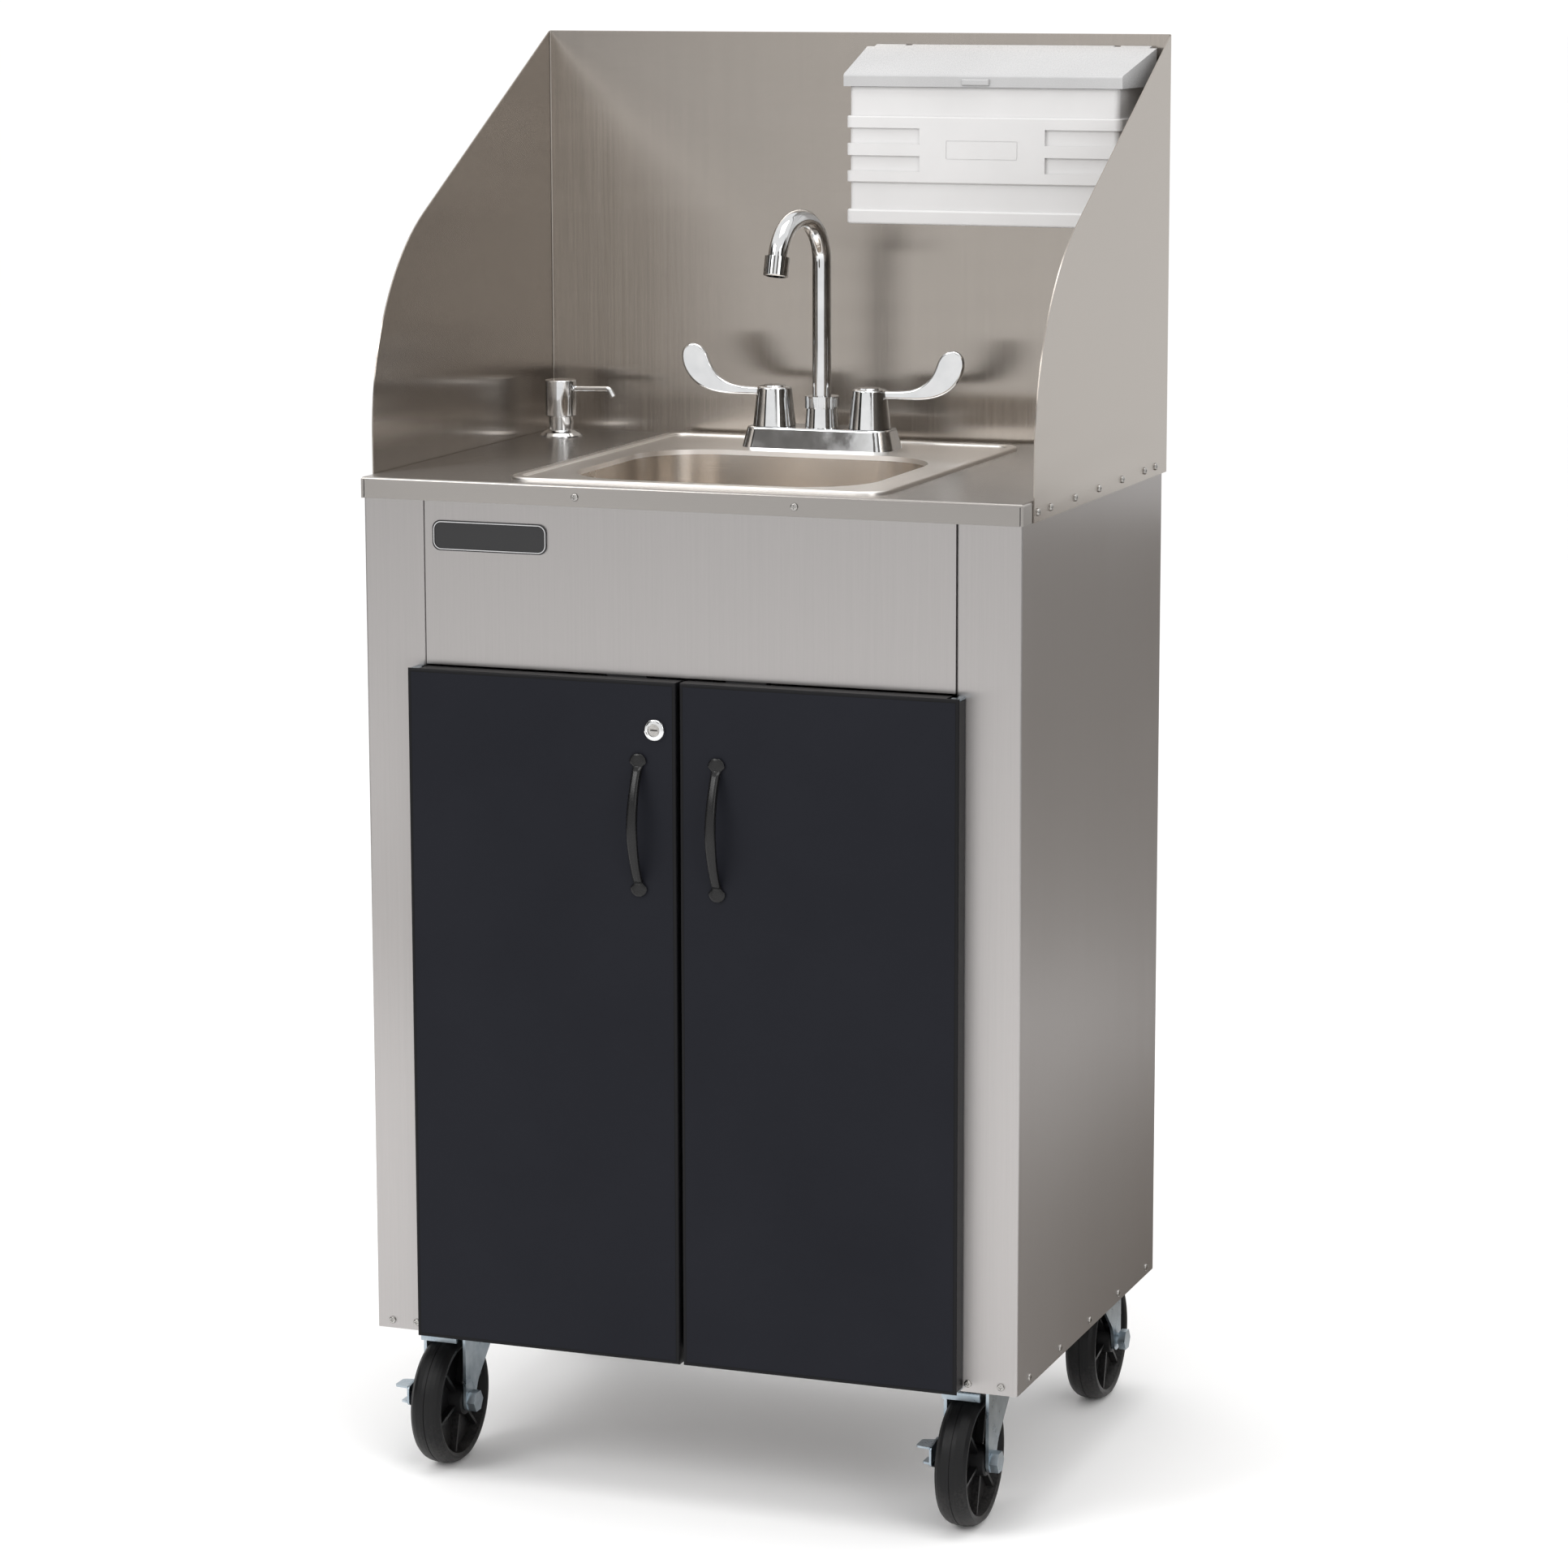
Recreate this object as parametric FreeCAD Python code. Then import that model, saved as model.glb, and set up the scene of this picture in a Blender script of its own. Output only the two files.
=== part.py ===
import FreeCAD, Part
import math
import os
from FreeCAD import Vector, Rotation, Placement

# Portable handwash sink: a steel cabinet on swivel casters with a drop-in basin, a gooseneck
# faucet, a soap pump, a three-sided splash guard, a paper towel dispenser, two lift-out water
# tanks, a pump and a small water heater.
#
# Working coordinates: x to the right from the middle of the cabinet, y backwards from the
# cabinet's front face, z up from the floor, all in millimetres. save() moves every piece
# forwards by FOOTPRINT_MIDDLE, so that the origin is on the floor at the middle of the footprint.

# ---------------------------------------------------------------- driving dimensions
CABINET_HALF_WIDTH = 330.0
CABINET_DEPTH = 457.0
CABINET_BOTTOM = 142.0
COUNTER_TOP = 983.5
OVERALL_HEIGHT = 1395.0
SHEET = 1.2
COUNTER_SHEET = 1.5
FLANGE_HEIGHT = 20.3
STILE_WIDTH = 62.5
APRON_BOTTOM = 806.0

DOOR_OUTER = 277.0
DOOR_INNER = 2.0
DOOR_BOTTOM = 144.0
DOOR_TOP = 804.5
DOOR_THICKNESS = 19.0
DOOR_GAP = 2.5
DOOR_PIN_X = 271.5
DOOR_PIN_RADIUS = 3.0

HANDLE_X = 39.5
HANDLE_TOP = 728.5
HANDLE_BOTTOM = 606.5
HANDLE_PROJECTION = 22.0
LOCK_X = -22.8
LOCK_Z = 759.0

BASIN_HALF_WIDTH = 190.5
BASIN_FRONT = 13.0
BASIN_BACK = 440.0
BOWL_HALF_WIDTH = 152.0
BOWL_FRONT = 44.0
BOWL_BACK = 316.0
BOWL_DEPTH = 152.0

FAUCET_Y = 372.0
FAUCET_CENTRES = 101.6
SPOUT_RADIUS = 9.5
SPOUT_BEND_RADIUS = 44.1
SPOUT_BEND_HEIGHT = 1171.4
SPOUT_BEND_ANGLE = 168.0
SPOUT_TURN = 9.7

SOAP_X = -294.5
SOAP_Y = 395.0

GUARD_HALF_WIDTH = 333.0
GUARD_BACK = 463.7
GUARD_FRONT = 26.0
GUARD_ARC_RADIUS = 236.0
GUARD_SLOPE = 28.3

DISPENSER_LEFT = 30.5
DISPENSER_RIGHT = 313.5
DISPENSER_FRONT = 357.0
DISPENSER_BOTTOM = 1210.0
DISPENSER_RIM = 1344.5

CASTER_X = 271.0
CASTER_FRONT_Y = 75.0
CASTER_BACK_Y = 418.0
CASTER_TRAIL = 37.0
WHEEL_RADIUS = 63.5
WHEEL_WIDTH = 32.0
AXLE_RADIUS = 6.0

FIT = 0.05
SCREW_RADIUS = 1.9
SCREW_HOLE = 2.0

# ---------------------------------------------------------------- values worked out from them
DOOR_FRONT_Y = -(DOOR_GAP + DOOR_THICKNESS)
COUNTER_UNDERSIDE = COUNTER_TOP - COUNTER_SHEET
REAR_WALL = CABINET_DEPTH - 2 * SHEET
FLANGE_BOTTOM = COUNTER_TOP - FLANGE_HEIGHT
GUARD_INNER = GUARD_HALF_WIDTH - SHEET
GUARD_BACK_INNER = GUARD_BACK - SHEET
PAN_TOP = CABINET_BOTTOM + 13.5
PAN_UNDERSIDE = PAN_TOP - 1.5
PLINTH_BOTTOM = COUNTER_TOP + 1.5
PLINTH_TOP = PLINTH_BOTTOM + 20.5
FRONT_EXTREME = DOOR_FRONT_Y - HANDLE_PROJECTION
BACK_EXTREME = CASTER_BACK_Y + CASTER_TRAIL + WHEEL_RADIUS
FOOTPRINT_MIDDLE = (FRONT_EXTREME + BACK_EXTREME) / 2

AXES = {"x": Vector(1, 0, 0), "y": Vector(0, 1, 0), "z": Vector(0, 0, 1)}


# ---------------------------------------------------------------- geometry helpers
def to_space(axis, a, b, level):
    """Place the plane point (a, b) at the given level along an axis."""
    if axis == "x":
        return Vector(level, a, b)
    if axis == "y":
        return Vector(a, level, b)
    return Vector(a, b, level)


def box(x, y, z):
    """A box from three (low, high) pairs."""
    return Part.makeBox(x[1] - x[0], y[1] - y[0], z[1] - z[0], Vector(x[0], y[0], z[0]))


def rod(axis, centre, radius, low, high):
    """A cylinder along an axis; centre is the pair of its other two coordinates."""
    return Part.makeCylinder(radius, high - low, to_space(axis, centre[0], centre[1], low), AXES[axis])


def ring(axis, centre, inner, outer, low, high):
    """A cylinder with a bore through it."""
    return rod(axis, centre, outer, low, high).cut(rod(axis, centre, inner, low - 1, high + 1))


def cone(centre, low_radius, high_radius, low, high):
    """An upright cone frustum."""
    return Part.makeCone(low_radius, high_radius, high - low, Vector(centre[0], centre[1], low))


def corner(before, point, after, radius):
    """The start, middle and end of the arc that rounds a corner."""
    back = (before - point).normalize()
    forth = (after - point).normalize()
    half = back.getAngle(forth) / 2
    reach = radius / math.tan(half)
    centre = point + (back + forth).normalize() * (radius / math.sin(half))
    middle = centre + (point - centre).normalize() * radius
    return point + back * reach, middle, point + forth * reach


def rounded_edges(points, radii, closed):
    """Straight and arc edges along a path whose corners are rounded by the given radii."""
    count = len(points)
    stops = []
    for i, point in enumerate(points):
        end = not closed and i in (0, count - 1)
        if end or radii[i] <= 0:
            stops.append((point, None, point))
        else:
            stops.append(corner(points[i - 1], point, points[(i + 1) % count], radii[i]))
    edges = []
    for i in range(count):
        entry, middle, leave = stops[i]
        if middle is not None:
            edges.append(Part.Arc(entry, middle, leave).toShape())
        if i == count - 1 and not closed:
            break
        following = stops[(i + 1) % count][0]
        if leave.distanceToPoint(following) > 1e-4:
            edges.append(Part.LineSegment(leave, following).toShape())
    return edges


def plate(axis, outline, low, high, radius=0.0):
    """Extrude a closed outline along an axis; a point may carry its own corner radius."""
    points = [to_space(axis, p[0], p[1], low) for p in outline]
    radii = [p[2] if len(p) > 2 else radius for p in outline]
    face = Part.Face(Part.Wire(rounded_edges(points, radii, True)))
    return face.extrude(AXES[axis] * (high - low))


def rectangle(a, b, radius=0.0):
    """Outline of a rectangle from two (low, high) pairs."""
    return [(a[0], b[0], radius), (a[1], b[0], radius), (a[1], b[1], radius), (a[0], b[1], radius)]


def folded_sheet(axis, path, thickness, bend, low, high):
    """Sheet metal bent along a path; the path is the outer skin and the metal lies to its left."""
    outer = [Vector(p[0], p[1], 0) for p in path]
    normals = []
    for start, end in zip(outer, outer[1:]):
        run = (end - start).normalize()
        normals.append(Vector(-run.y, run.x, 0))
    outline = []
    inner = []
    for i, point in enumerate(outer):
        first = normals[max(i - 1, 0)]
        second = normals[min(i, len(normals) - 1)]
        shift = (first + second) * (thickness / (1 + first.dot(second)))
        turn = first.cross(second).z
        outer_radius = 0.0 if turn == 0 else bend + (thickness if turn > 0 else 0)
        inner_radius = 0.0 if turn == 0 else bend + (0 if turn > 0 else thickness)
        outline.append((point.x, point.y, outer_radius))
        inner.append((point.x + shift.x, point.y + shift.y, inner_radius))
    return plate(axis, outline + inner[::-1], low, high)


def fuse(shapes):
    """Join shapes into one clean solid."""
    result = shapes[0]
    if len(shapes) > 1:
        result = shapes[0].multiFuse(shapes[1:])
    return result.removeSplitter()


def cut_all(shape, tools):
    """Cut a list of tools out of a shape."""
    return shape.cut(tools[0] if len(tools) == 1 else Part.makeCompound(tools))


def mirrored(shape):
    """The same piece on the other side of the middle plane."""
    return shape.mirror(Vector(0, 0, 0), Vector(1, 0, 0))


def turned(shape, centre, axis, degrees):
    """A copy turned about a line."""
    copy = shape.copy()
    copy.rotate(centre, axis, degrees)
    return copy


def aimed(shape, position, direction):
    """A copy of a piece drawn along +Z, moved to a position and pointed in a direction."""
    copy = shape.copy()
    copy.Placement = Placement(position, Rotation(Vector(0, 0, 1), direction))
    return copy


def edges_where(shape, test):
    """The edges of a shape whose middle point passes a test."""
    chosen = []
    for edge in shape.Edges:
        middle = edge.valueAt((edge.FirstParameter + edge.LastParameter) / 2)
        if test(middle, edge):
            chosen.append(edge)
    return chosen


def soften(shape, radius, test):
    """Round the edges that pass a test."""
    return shape.makeFillet(radius, edges_where(shape, test))


def corner_trim(point, size):
    """A wedge that takes the vertical corner off a plate."""
    inward = -size if point.x > 0 else size
    outline = [
        (point.x + inward, point.y + 1), (point.x - inward, point.y + 1), (point.x - inward, point.y - size),
        (point.x, point.y - size), (point.x + inward, point.y),
    ]
    if inward > 0:
        outline = outline[::-1]
    return plate("z", outline, 0, OVERALL_HEIGHT)


def revolve(axis_point, profile):
    """Turn a closed (radius, height) profile about a vertical line through axis_point."""
    points = [Vector(axis_point[0] + r, axis_point[1], z) for r, z in profile]
    face = Part.Face(Part.makePolygon(points + points[:1]))
    return face.revolve(Vector(axis_point[0], axis_point[1], 0), Vector(0, 0, 1), 360)


def bent_tube(points, bend, outer, inner=0.0):
    """A tube along straight runs joined by tangent arcs, hollow when it has an inner radius."""
    path = Part.Wire(rounded_edges(points, [bend] * len(points), False))
    start = points[0]
    heading = points[1] - points[0]

    def sweep(radius):
        section = Part.Wire(Part.Circle(start, heading, radius).toShape())
        return path.makePipeShell([section], True, False)

    body = sweep(outer)
    return body.cut(sweep(inner)) if inner else body


def hexagon(axis, centre, across_flats, low, high):
    """A hexagonal nut blank."""
    reach = across_flats / math.sqrt(3)
    outline = []
    for i in range(6):
        angle = math.radians(60 * i)
        outline.append((centre[0] + reach * math.cos(angle), centre[1] + reach * math.sin(angle)))
    return plate(axis, outline, low, high)


def save(name, shape):
    """Write one node as a STEP file, in the part's own frame."""
    placed = shape.copy()
    placed.translate(Vector(0, -FOOTPRINT_MIDDLE, 0))
    placed.exportStep("parts/" + name + ".step")
    print(f"{name:24s} solids {len(placed.Solids):3d}  volume {placed.Volume / 1000:9.2f} cm3")


# ---------------------------------------------------------------- fasteners
def pan_head_screw(length):
    """A pan-head screw with a crossed recess; its seat is at the origin and its head points +Z."""
    head = rod("z", (0, 0), 3.6, 0, 2.0)
    head = soften(head, 1.3, lambda p, e: p.z > 1.9)
    recess = [
        box((-0.45, 0.45), (-2.0, 2.0), (1.0, 3.0)),
        box((-2.0, 2.0), (-0.45, 0.45), (1.0, 3.0)),
    ]
    return fuse([cut_all(head, recess), rod("z", (0, 0), SCREW_RADIUS, -length, 0.5)])


RIGHT = Vector(1, 0, 0)
FORWARD = Vector(0, -1, 0)
SKIRT_SCREW_Z = FLANGE_BOTTOM + 9.3
SKIRT_SCREW_Y = [36.0, 75.0, 152.0, 229.0, 306.0, 383.0, 421.0]
BASE_SCREW_Z = CABINET_BOTTOM + 9.0
BASE_SCREW_Y = [36.0 + 97.75 * i for i in range(5)]
STILE_SCREW_X = [-314.0, -287.9, 281.5, 314.0]
COUNTER_SCREW_X = [-110.0, 110.0]
COUNTER_FRONT_Y = -2.9


def screw_seats():
    """Every cabinet screw as (seat position, outward direction)."""
    seats = []
    for side in (-1, 1):
        for y in SKIRT_SCREW_Y:
            seats.append((Vector(side * GUARD_HALF_WIDTH, y, SKIRT_SCREW_Z), RIGHT * side))
        for y in BASE_SCREW_Y:
            seats.append((Vector(side * CABINET_HALF_WIDTH, y, BASE_SCREW_Z), RIGHT * side))
    for x in STILE_SCREW_X:
        seats.append((Vector(x, 0, BASE_SCREW_Z - 1), FORWARD))
    for x in COUNTER_SCREW_X:
        seats.append((Vector(x, COUNTER_FRONT_Y, SKIRT_SCREW_Z), FORWARD))
    return seats


def screw_holes(reach):
    """A drill for every cabinet screw."""
    drill = rod("z", (0, 0), SCREW_HOLE, -reach, 0.6)
    return [aimed(drill, seat, way) for seat, way in screw_seats()]


SCREW_DRILLS = screw_holes(7.0)


def drilled(shape):
    """A panel with the holes of the screws that cross it."""
    return cut_all(shape, SCREW_DRILLS)


# ---------------------------------------------------------------- cabinet
HINGE_LEAF = 2.0
HINGE_RECESS = 2.8
HINGE_SWING = 7.4
LEAF_OUTER = 276.2
LEAF_INNER = 270.0


def hinge_leaf_levels():
    """The (low, high) height of the bottom and of the top hinge leaf."""
    bottom = DOOR_BOTTOM + 0.5
    top = DOOR_TOP - 0.5
    return (bottom, bottom + HINGE_LEAF), (top - HINGE_LEAF, top)


def right_side_panel():
    """Side wall folded into the front stile and a rear flange."""
    stile_inner = CABINET_HALF_WIDTH - STILE_WIDTH
    path = [
        (stile_inner, 13),
        (stile_inner, 0),
        (CABINET_HALF_WIDTH, 0),
        (CABINET_HALF_WIDTH, CABINET_DEPTH),
        (CABINET_HALF_WIDTH - 20, CABINET_DEPTH),
    ]
    panel = folded_sheet("z", path, SHEET, 1.0, CABINET_BOTTOM, COUNTER_UNDERSIDE)
    slots = []
    for low, high in hinge_leaf_levels():
        slots.append(box((LEAF_INNER, LEAF_OUTER), (-1, SHEET + 0.5), (low, high)))
    return cut_all(panel, slots)


def back_panel():
    """Rear wall with a row of vent slots and the cut-out of the power inlet."""
    half = CABINET_HALF_WIDTH - 2 * SHEET
    wall = box((-half, half), (REAR_WALL, CABINET_DEPTH - SHEET), (PAN_TOP, COUNTER_UNDERSIDE))
    slots = []
    for column in (-1, 1):
        for row in range(6):
            z = 870 + 14 * row
            x = column * 150
            outline = rectangle((x - 40, x + 40), (z, z + 5), 2.4)
            slots.append(plate("y", outline, 450, 460))
    inlet = box(INLET_X, (450, 460), INLET_Z)
    return cut_all(wall, slots + [inlet])


def base_pan():
    """Floor of the cabinet: a tray with its rim turned down."""
    outer = box((-328.8, 328.8), (14.0, CABINET_DEPTH - 2 * SHEET), (CABINET_BOTTOM + 1, PAN_TOP))
    inner = box((-327.3, 327.3), (15.5, CABINET_DEPTH - 2 * SHEET - 1.5), (CABINET_BOTTOM, PAN_UNDERSIDE))
    holes = [rod("z", (x, y), 4.2, PAN_UNDERSIDE - 1, PAN_TOP + 1) for x, y in caster_bolt_places()]
    return cut_all(outer, [inner] + holes)


def front_apron():
    """Panel between the stiles above the doors, with its edges turned back."""
    half = CABINET_HALF_WIDTH - STILE_WIDTH - 1.0
    face = box((-half, half), (0, 14), (APRON_BOTTOM, COUNTER_UNDERSIDE))
    hollow = box((-half + SHEET, half - SHEET), (SHEET, 20), (APRON_BOTTOM + SHEET, COUNTER_UNDERSIDE + 1))
    return face.cut(hollow)


def countertop():
    """Top sheet with turned-down flanges, the sink cut-out and the soap pump hole."""
    half = CABINET_HALF_WIDTH + 0.3 + SHEET
    outer = box((-half, half), (COUNTER_FRONT_Y, GUARD_BACK_INNER), (FLANGE_BOTTOM, COUNTER_TOP))
    outer = soften(outer, 2.5, lambda p, e: p.z > COUNTER_TOP - 0.1 and p.y < GUARD_BACK_INNER - 1)
    rear = [Vector(side * half, GUARD_BACK_INNER, 0) for side in (-1, 1)]
    outer = cut_all(outer, [corner_trim(point, 2.5) for point in rear])
    inside = box(
        (-half + SHEET, half - SHEET),
        (COUNTER_FRONT_Y + SHEET, GUARD_BACK_INNER + 1),
        (FLANGE_BOTTOM - 1, COUNTER_UNDERSIDE),
    )
    cutout = plate(
        "z",
        rectangle((-BASIN_HALF_WIDTH + 12, BASIN_HALF_WIDTH - 12), (BASIN_FRONT + 12, BASIN_BACK - 12), 22),
        FLANGE_BOTTOM,
        COUNTER_TOP + 1,
    )
    soap_hole = rod("z", (SOAP_X, SOAP_Y), 14.0, FLANGE_BOTTOM, COUNTER_TOP + 1)
    slits = []
    for side in (-1, 1):
        x = side * (half - 3.0)
        height = (FLANGE_BOTTOM - 1, COUNTER_TOP - 2.6)
        slits.append(box((x - 0.4, x + 0.4), (COUNTER_FRONT_Y - 1, 2), height))
    return cut_all(outer, [inside, cutout, soap_hole] + slits)


def splash_guard():
    """One sheet bent round three sides, its side wings cut to a slope that ends in an arc."""
    path = [
        (-GUARD_HALF_WIDTH, GUARD_BACK - 470),
        (-GUARD_HALF_WIDTH, GUARD_BACK),
        (GUARD_HALF_WIDTH, GUARD_BACK),
        (GUARD_HALF_WIDTH, GUARD_BACK - 470),
    ]
    channel = folded_sheet("z", path[::-1], SHEET, 1.2, FLANGE_BOTTOM, OVERALL_HEIGHT)
    slope = math.radians(GUARD_SLOPE)
    arc_start_y = GUARD_FRONT + GUARD_ARC_RADIUS * (1 - math.sin(slope))
    arc_start_z = OVERALL_HEIGHT - (GUARD_BACK - arc_start_y) * math.tan(slope)
    arc_end_z = arc_start_z - GUARD_ARC_RADIUS * math.cos(slope)
    half_turn = (math.pi / 2 - slope) / 2
    arc_middle = Vector(
        0,
        GUARD_FRONT + GUARD_ARC_RADIUS * (1 - math.cos(half_turn)),
        arc_end_z + GUARD_ARC_RADIUS * math.sin(half_turn),
    )
    low_front = Vector(0, GUARD_FRONT, FLANGE_BOTTOM)
    low_back = Vector(0, GUARD_BACK + 1, FLANGE_BOTTOM)
    top_back = Vector(0, GUARD_BACK + 1, OVERALL_HEIGHT)
    top_edge = Vector(0, GUARD_BACK, OVERALL_HEIGHT)
    arc_start = Vector(0, arc_start_y, arc_start_z)
    arc_end = Vector(0, GUARD_FRONT, arc_end_z)
    edges = [
        Part.LineSegment(low_front, low_back).toShape(),
        Part.LineSegment(low_back, top_back).toShape(),
        Part.LineSegment(top_back, top_edge).toShape(),
        Part.LineSegment(top_edge, arc_start).toShape(),
        Part.Arc(arc_start, arc_middle, arc_end).toShape(),
        Part.LineSegment(arc_end, low_front).toShape(),
    ]
    profile = Part.Face(Part.Wire(edges)).extrude(Vector(2 * GUARD_HALF_WIDTH + 20, 0, 0))
    profile.translate(Vector(-GUARD_HALF_WIDTH - 10, 0, 0))
    return channel.common(profile)


def nameplate():
    """A plain plaque with a raised rim."""
    outline = rectangle((-258, -140), (916, 945), 8)
    inner = rectangle((-255.5, -142.5), (918.5, 942.5), 6)
    plaque = plate("y", outline, -1.6, 0)
    return plaque.cut(plate("y", inner, -2.0, -1.1))


def magnetic_catches():
    """Two magnet cases under the apron's turned-back edge."""
    cases = []
    for x in (-60.0, 60.0):
        case = box((x - 20, x + 20), (1.0, 15.0), (APRON_BOTTOM - 13, APRON_BOTTOM))
        magnet = box((x - 14, x + 14), (-1.6, 1.0), (APRON_BOTTOM - 10, APRON_BOTTOM - 3))
        cases.append(fuse([soften(case, 1.5, lambda p, e: p.z < APRON_BOTTOM - 12.9), magnet]))
    return Part.makeCompound(cases)


# ---------------------------------------------------------------- doors, handles and lock
def hinge_bracket(side, low, high, pin_end):
    """A leaf through the stile, with its inner tab and the pin that the door turns on."""
    x = side * DOOR_PIN_X
    pin_y = DOOR_FRONT_Y + DOOR_THICKNESS / 2
    span = sorted((side * LEAF_INNER, side * LEAF_OUTER))
    neck = box(span, (pin_y, SHEET + 2.0), (low, high))
    boss = rod("z", (x, pin_y), 5.0, low, high)
    upward = pin_end > high
    pin = rod("z", (x, pin_y), DOOR_PIN_RADIUS, min(low, pin_end), max(high, pin_end))
    tab_z = (low, high + 20) if upward else (low - 20, high)
    tab = box(span, (SHEET, SHEET + 2.0), tab_z)
    return fuse([neck, boss, pin, tab])


def door_hinge_brackets():
    """The four fixed hinge brackets."""
    bottom, top = hinge_leaf_levels()
    brackets = []
    for side in (-1, 1):
        brackets.append(hinge_bracket(side, bottom[0], bottom[1], bottom[1] + 12))
        brackets.append(hinge_bracket(side, top[0], top[1], top[0] - 12))
    return Part.makeCompound(brackets)


def right_door(extra_holes):
    """Door slab with softened edges, hinge recesses, pin bores and handle stud holes."""
    slab = box((DOOR_INNER, DOOR_OUTER), (DOOR_FRONT_Y, -DOOR_GAP), (DOOR_BOTTOM, DOOR_TOP))
    slab = soften(slab, 1.5, lambda p, e: p.y < DOOR_FRONT_Y + 0.1)
    pin_y = DOOR_FRONT_Y + DOOR_THICKNESS / 2
    tools = []
    recess_x = (DOOR_PIN_X - HINGE_SWING, DOOR_OUTER + 1)
    recess_y = (pin_y - HINGE_SWING, 0)
    tools.append(box(recess_x, recess_y, (DOOR_BOTTOM - 1, DOOR_BOTTOM + HINGE_RECESS)))
    tools.append(box(recess_x, recess_y, (DOOR_TOP - HINGE_RECESS, DOOR_TOP + 1)))
    bore = DOOR_PIN_RADIUS + FIT
    tools.append(rod("z", (DOOR_PIN_X, pin_y), bore, DOOR_BOTTOM, DOOR_BOTTOM + 16))
    tools.append(rod("z", (DOOR_PIN_X, pin_y), bore, DOOR_TOP - 16, DOOR_TOP))
    for z in (HANDLE_BOTTOM, HANDLE_TOP):
        tools.append(rod("y", (HANDLE_X, z), 2.6, DOOR_FRONT_Y - 1, 0))
    return cut_all(slab, tools + extra_holes)


def right_door_handle():
    """A bowed bar between two round feet, with its threaded studs and their nuts."""
    middle = (HANDLE_TOP + HANDLE_BOTTOM) / 2
    half = (HANDLE_TOP - HANDLE_BOTTOM) / 2
    outer_y = DOOR_FRONT_Y - HANDLE_PROJECTION
    bar = 7.0
    foot_y = DOOR_FRONT_Y - 1.5
    rise = foot_y - outer_y
    radius = (half * half + rise * rise) / (2 * rise)
    centre = (outer_y + radius, middle)
    bow = ring("x", centre, radius - bar, radius, HANDLE_X - 5.2, HANDLE_X + 5.2)
    bow = bow.common(box((0, 80), (outer_y - 1, DOOR_FRONT_Y), (HANDLE_BOTTOM, HANDLE_TOP)))
    bow = soften(bow, 2.4, lambda p, e: abs(p.x - HANDLE_X) > 5 and p.y < DOOR_FRONT_Y - 6 and e.Length > 60)
    pieces = [bow]
    for z in (HANDLE_BOTTOM, HANDLE_TOP):
        foot = rod("y", (HANDLE_X, z), 7.8, DOOR_FRONT_Y - 3.6, DOOR_FRONT_Y)
        pieces.append(soften(foot, 0.8, lambda p, e: p.y < DOOR_FRONT_Y - 3.5))
        pieces.append(rod("y", (HANDLE_X, z), 2.5, DOOR_FRONT_Y - 1, 0.8))
        pieces.append(rod("y", (HANDLE_X, z), 4.6, -DOOR_GAP, 0.8))
    return fuse(pieces)


def lock_barrel():
    """Fixed body of the cam lock, through the left door, with its front flange."""
    flange = rod("y", (LOCK_X, LOCK_Z), 10.4, DOOR_FRONT_Y - 2.2, DOOR_FRONT_Y)
    flange = soften(flange, 1.2, lambda p, e: p.y < DOOR_FRONT_Y - 2.1)
    body = rod("y", (LOCK_X, LOCK_Z), 8.8, DOOR_FRONT_Y, -1.6)
    nut = hexagon("y", (LOCK_X, LOCK_Z), 23, -DOOR_GAP, -1.6)
    bore = rod("y", (LOCK_X, LOCK_Z), 6.05, DOOR_FRONT_Y - 5, 5)
    return fuse([flange, body, nut]).cut(bore)


def lock_plug():
    """Turning plug with the key slot, and the square end that carries the cam."""
    plug = rod("y", (LOCK_X, LOCK_Z), 6.0, DOOR_FRONT_Y - 2.6, -1.3)
    keyway_depth = (DOOR_FRONT_Y - 4, DOOR_FRONT_Y + 6)
    slot = box((LOCK_X - 3.6, LOCK_X + 3.6), keyway_depth, (LOCK_Z - 0.6, LOCK_Z + 0.6))
    tail = box((LOCK_X - 3, LOCK_X + 3), (-1.3, 2.6), (LOCK_Z - 3, LOCK_Z + 3))
    return fuse([plug.cut(slot), tail])


def lock_cam():
    """Flat cam on the plug's tail; it hangs down when the lock is open."""
    blade = plate("y", rectangle((LOCK_X - 7, LOCK_X + 7), (LOCK_Z - 36, LOCK_Z + 8), 6), -1.2, 0.8)
    return blade.cut(box((LOCK_X - 3, LOCK_X + 3), (-3, 3), (LOCK_Z - 3, LOCK_Z + 3)))


# ---------------------------------------------------------------- basin and drain
DRAIN = (0.0, (BOWL_FRONT + BOWL_BACK) / 2)
BOWL_FLOOR = COUNTER_TOP - BOWL_DEPTH
BASIN_SHEET = 1.2


def bowl_block(grow, floor, top):
    """The bowl's hollow as a solid: a rounded block with a well-rounded floor edge."""
    outline = rectangle(
        (-BOWL_HALF_WIDTH - grow, BOWL_HALF_WIDTH + grow),
        (BOWL_FRONT - grow, BOWL_BACK + grow),
        72 + grow,
    )
    block = plate("z", outline, floor, top)
    return soften(block, 34 + grow, lambda p, e: p.z < floor + 0.1)


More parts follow.
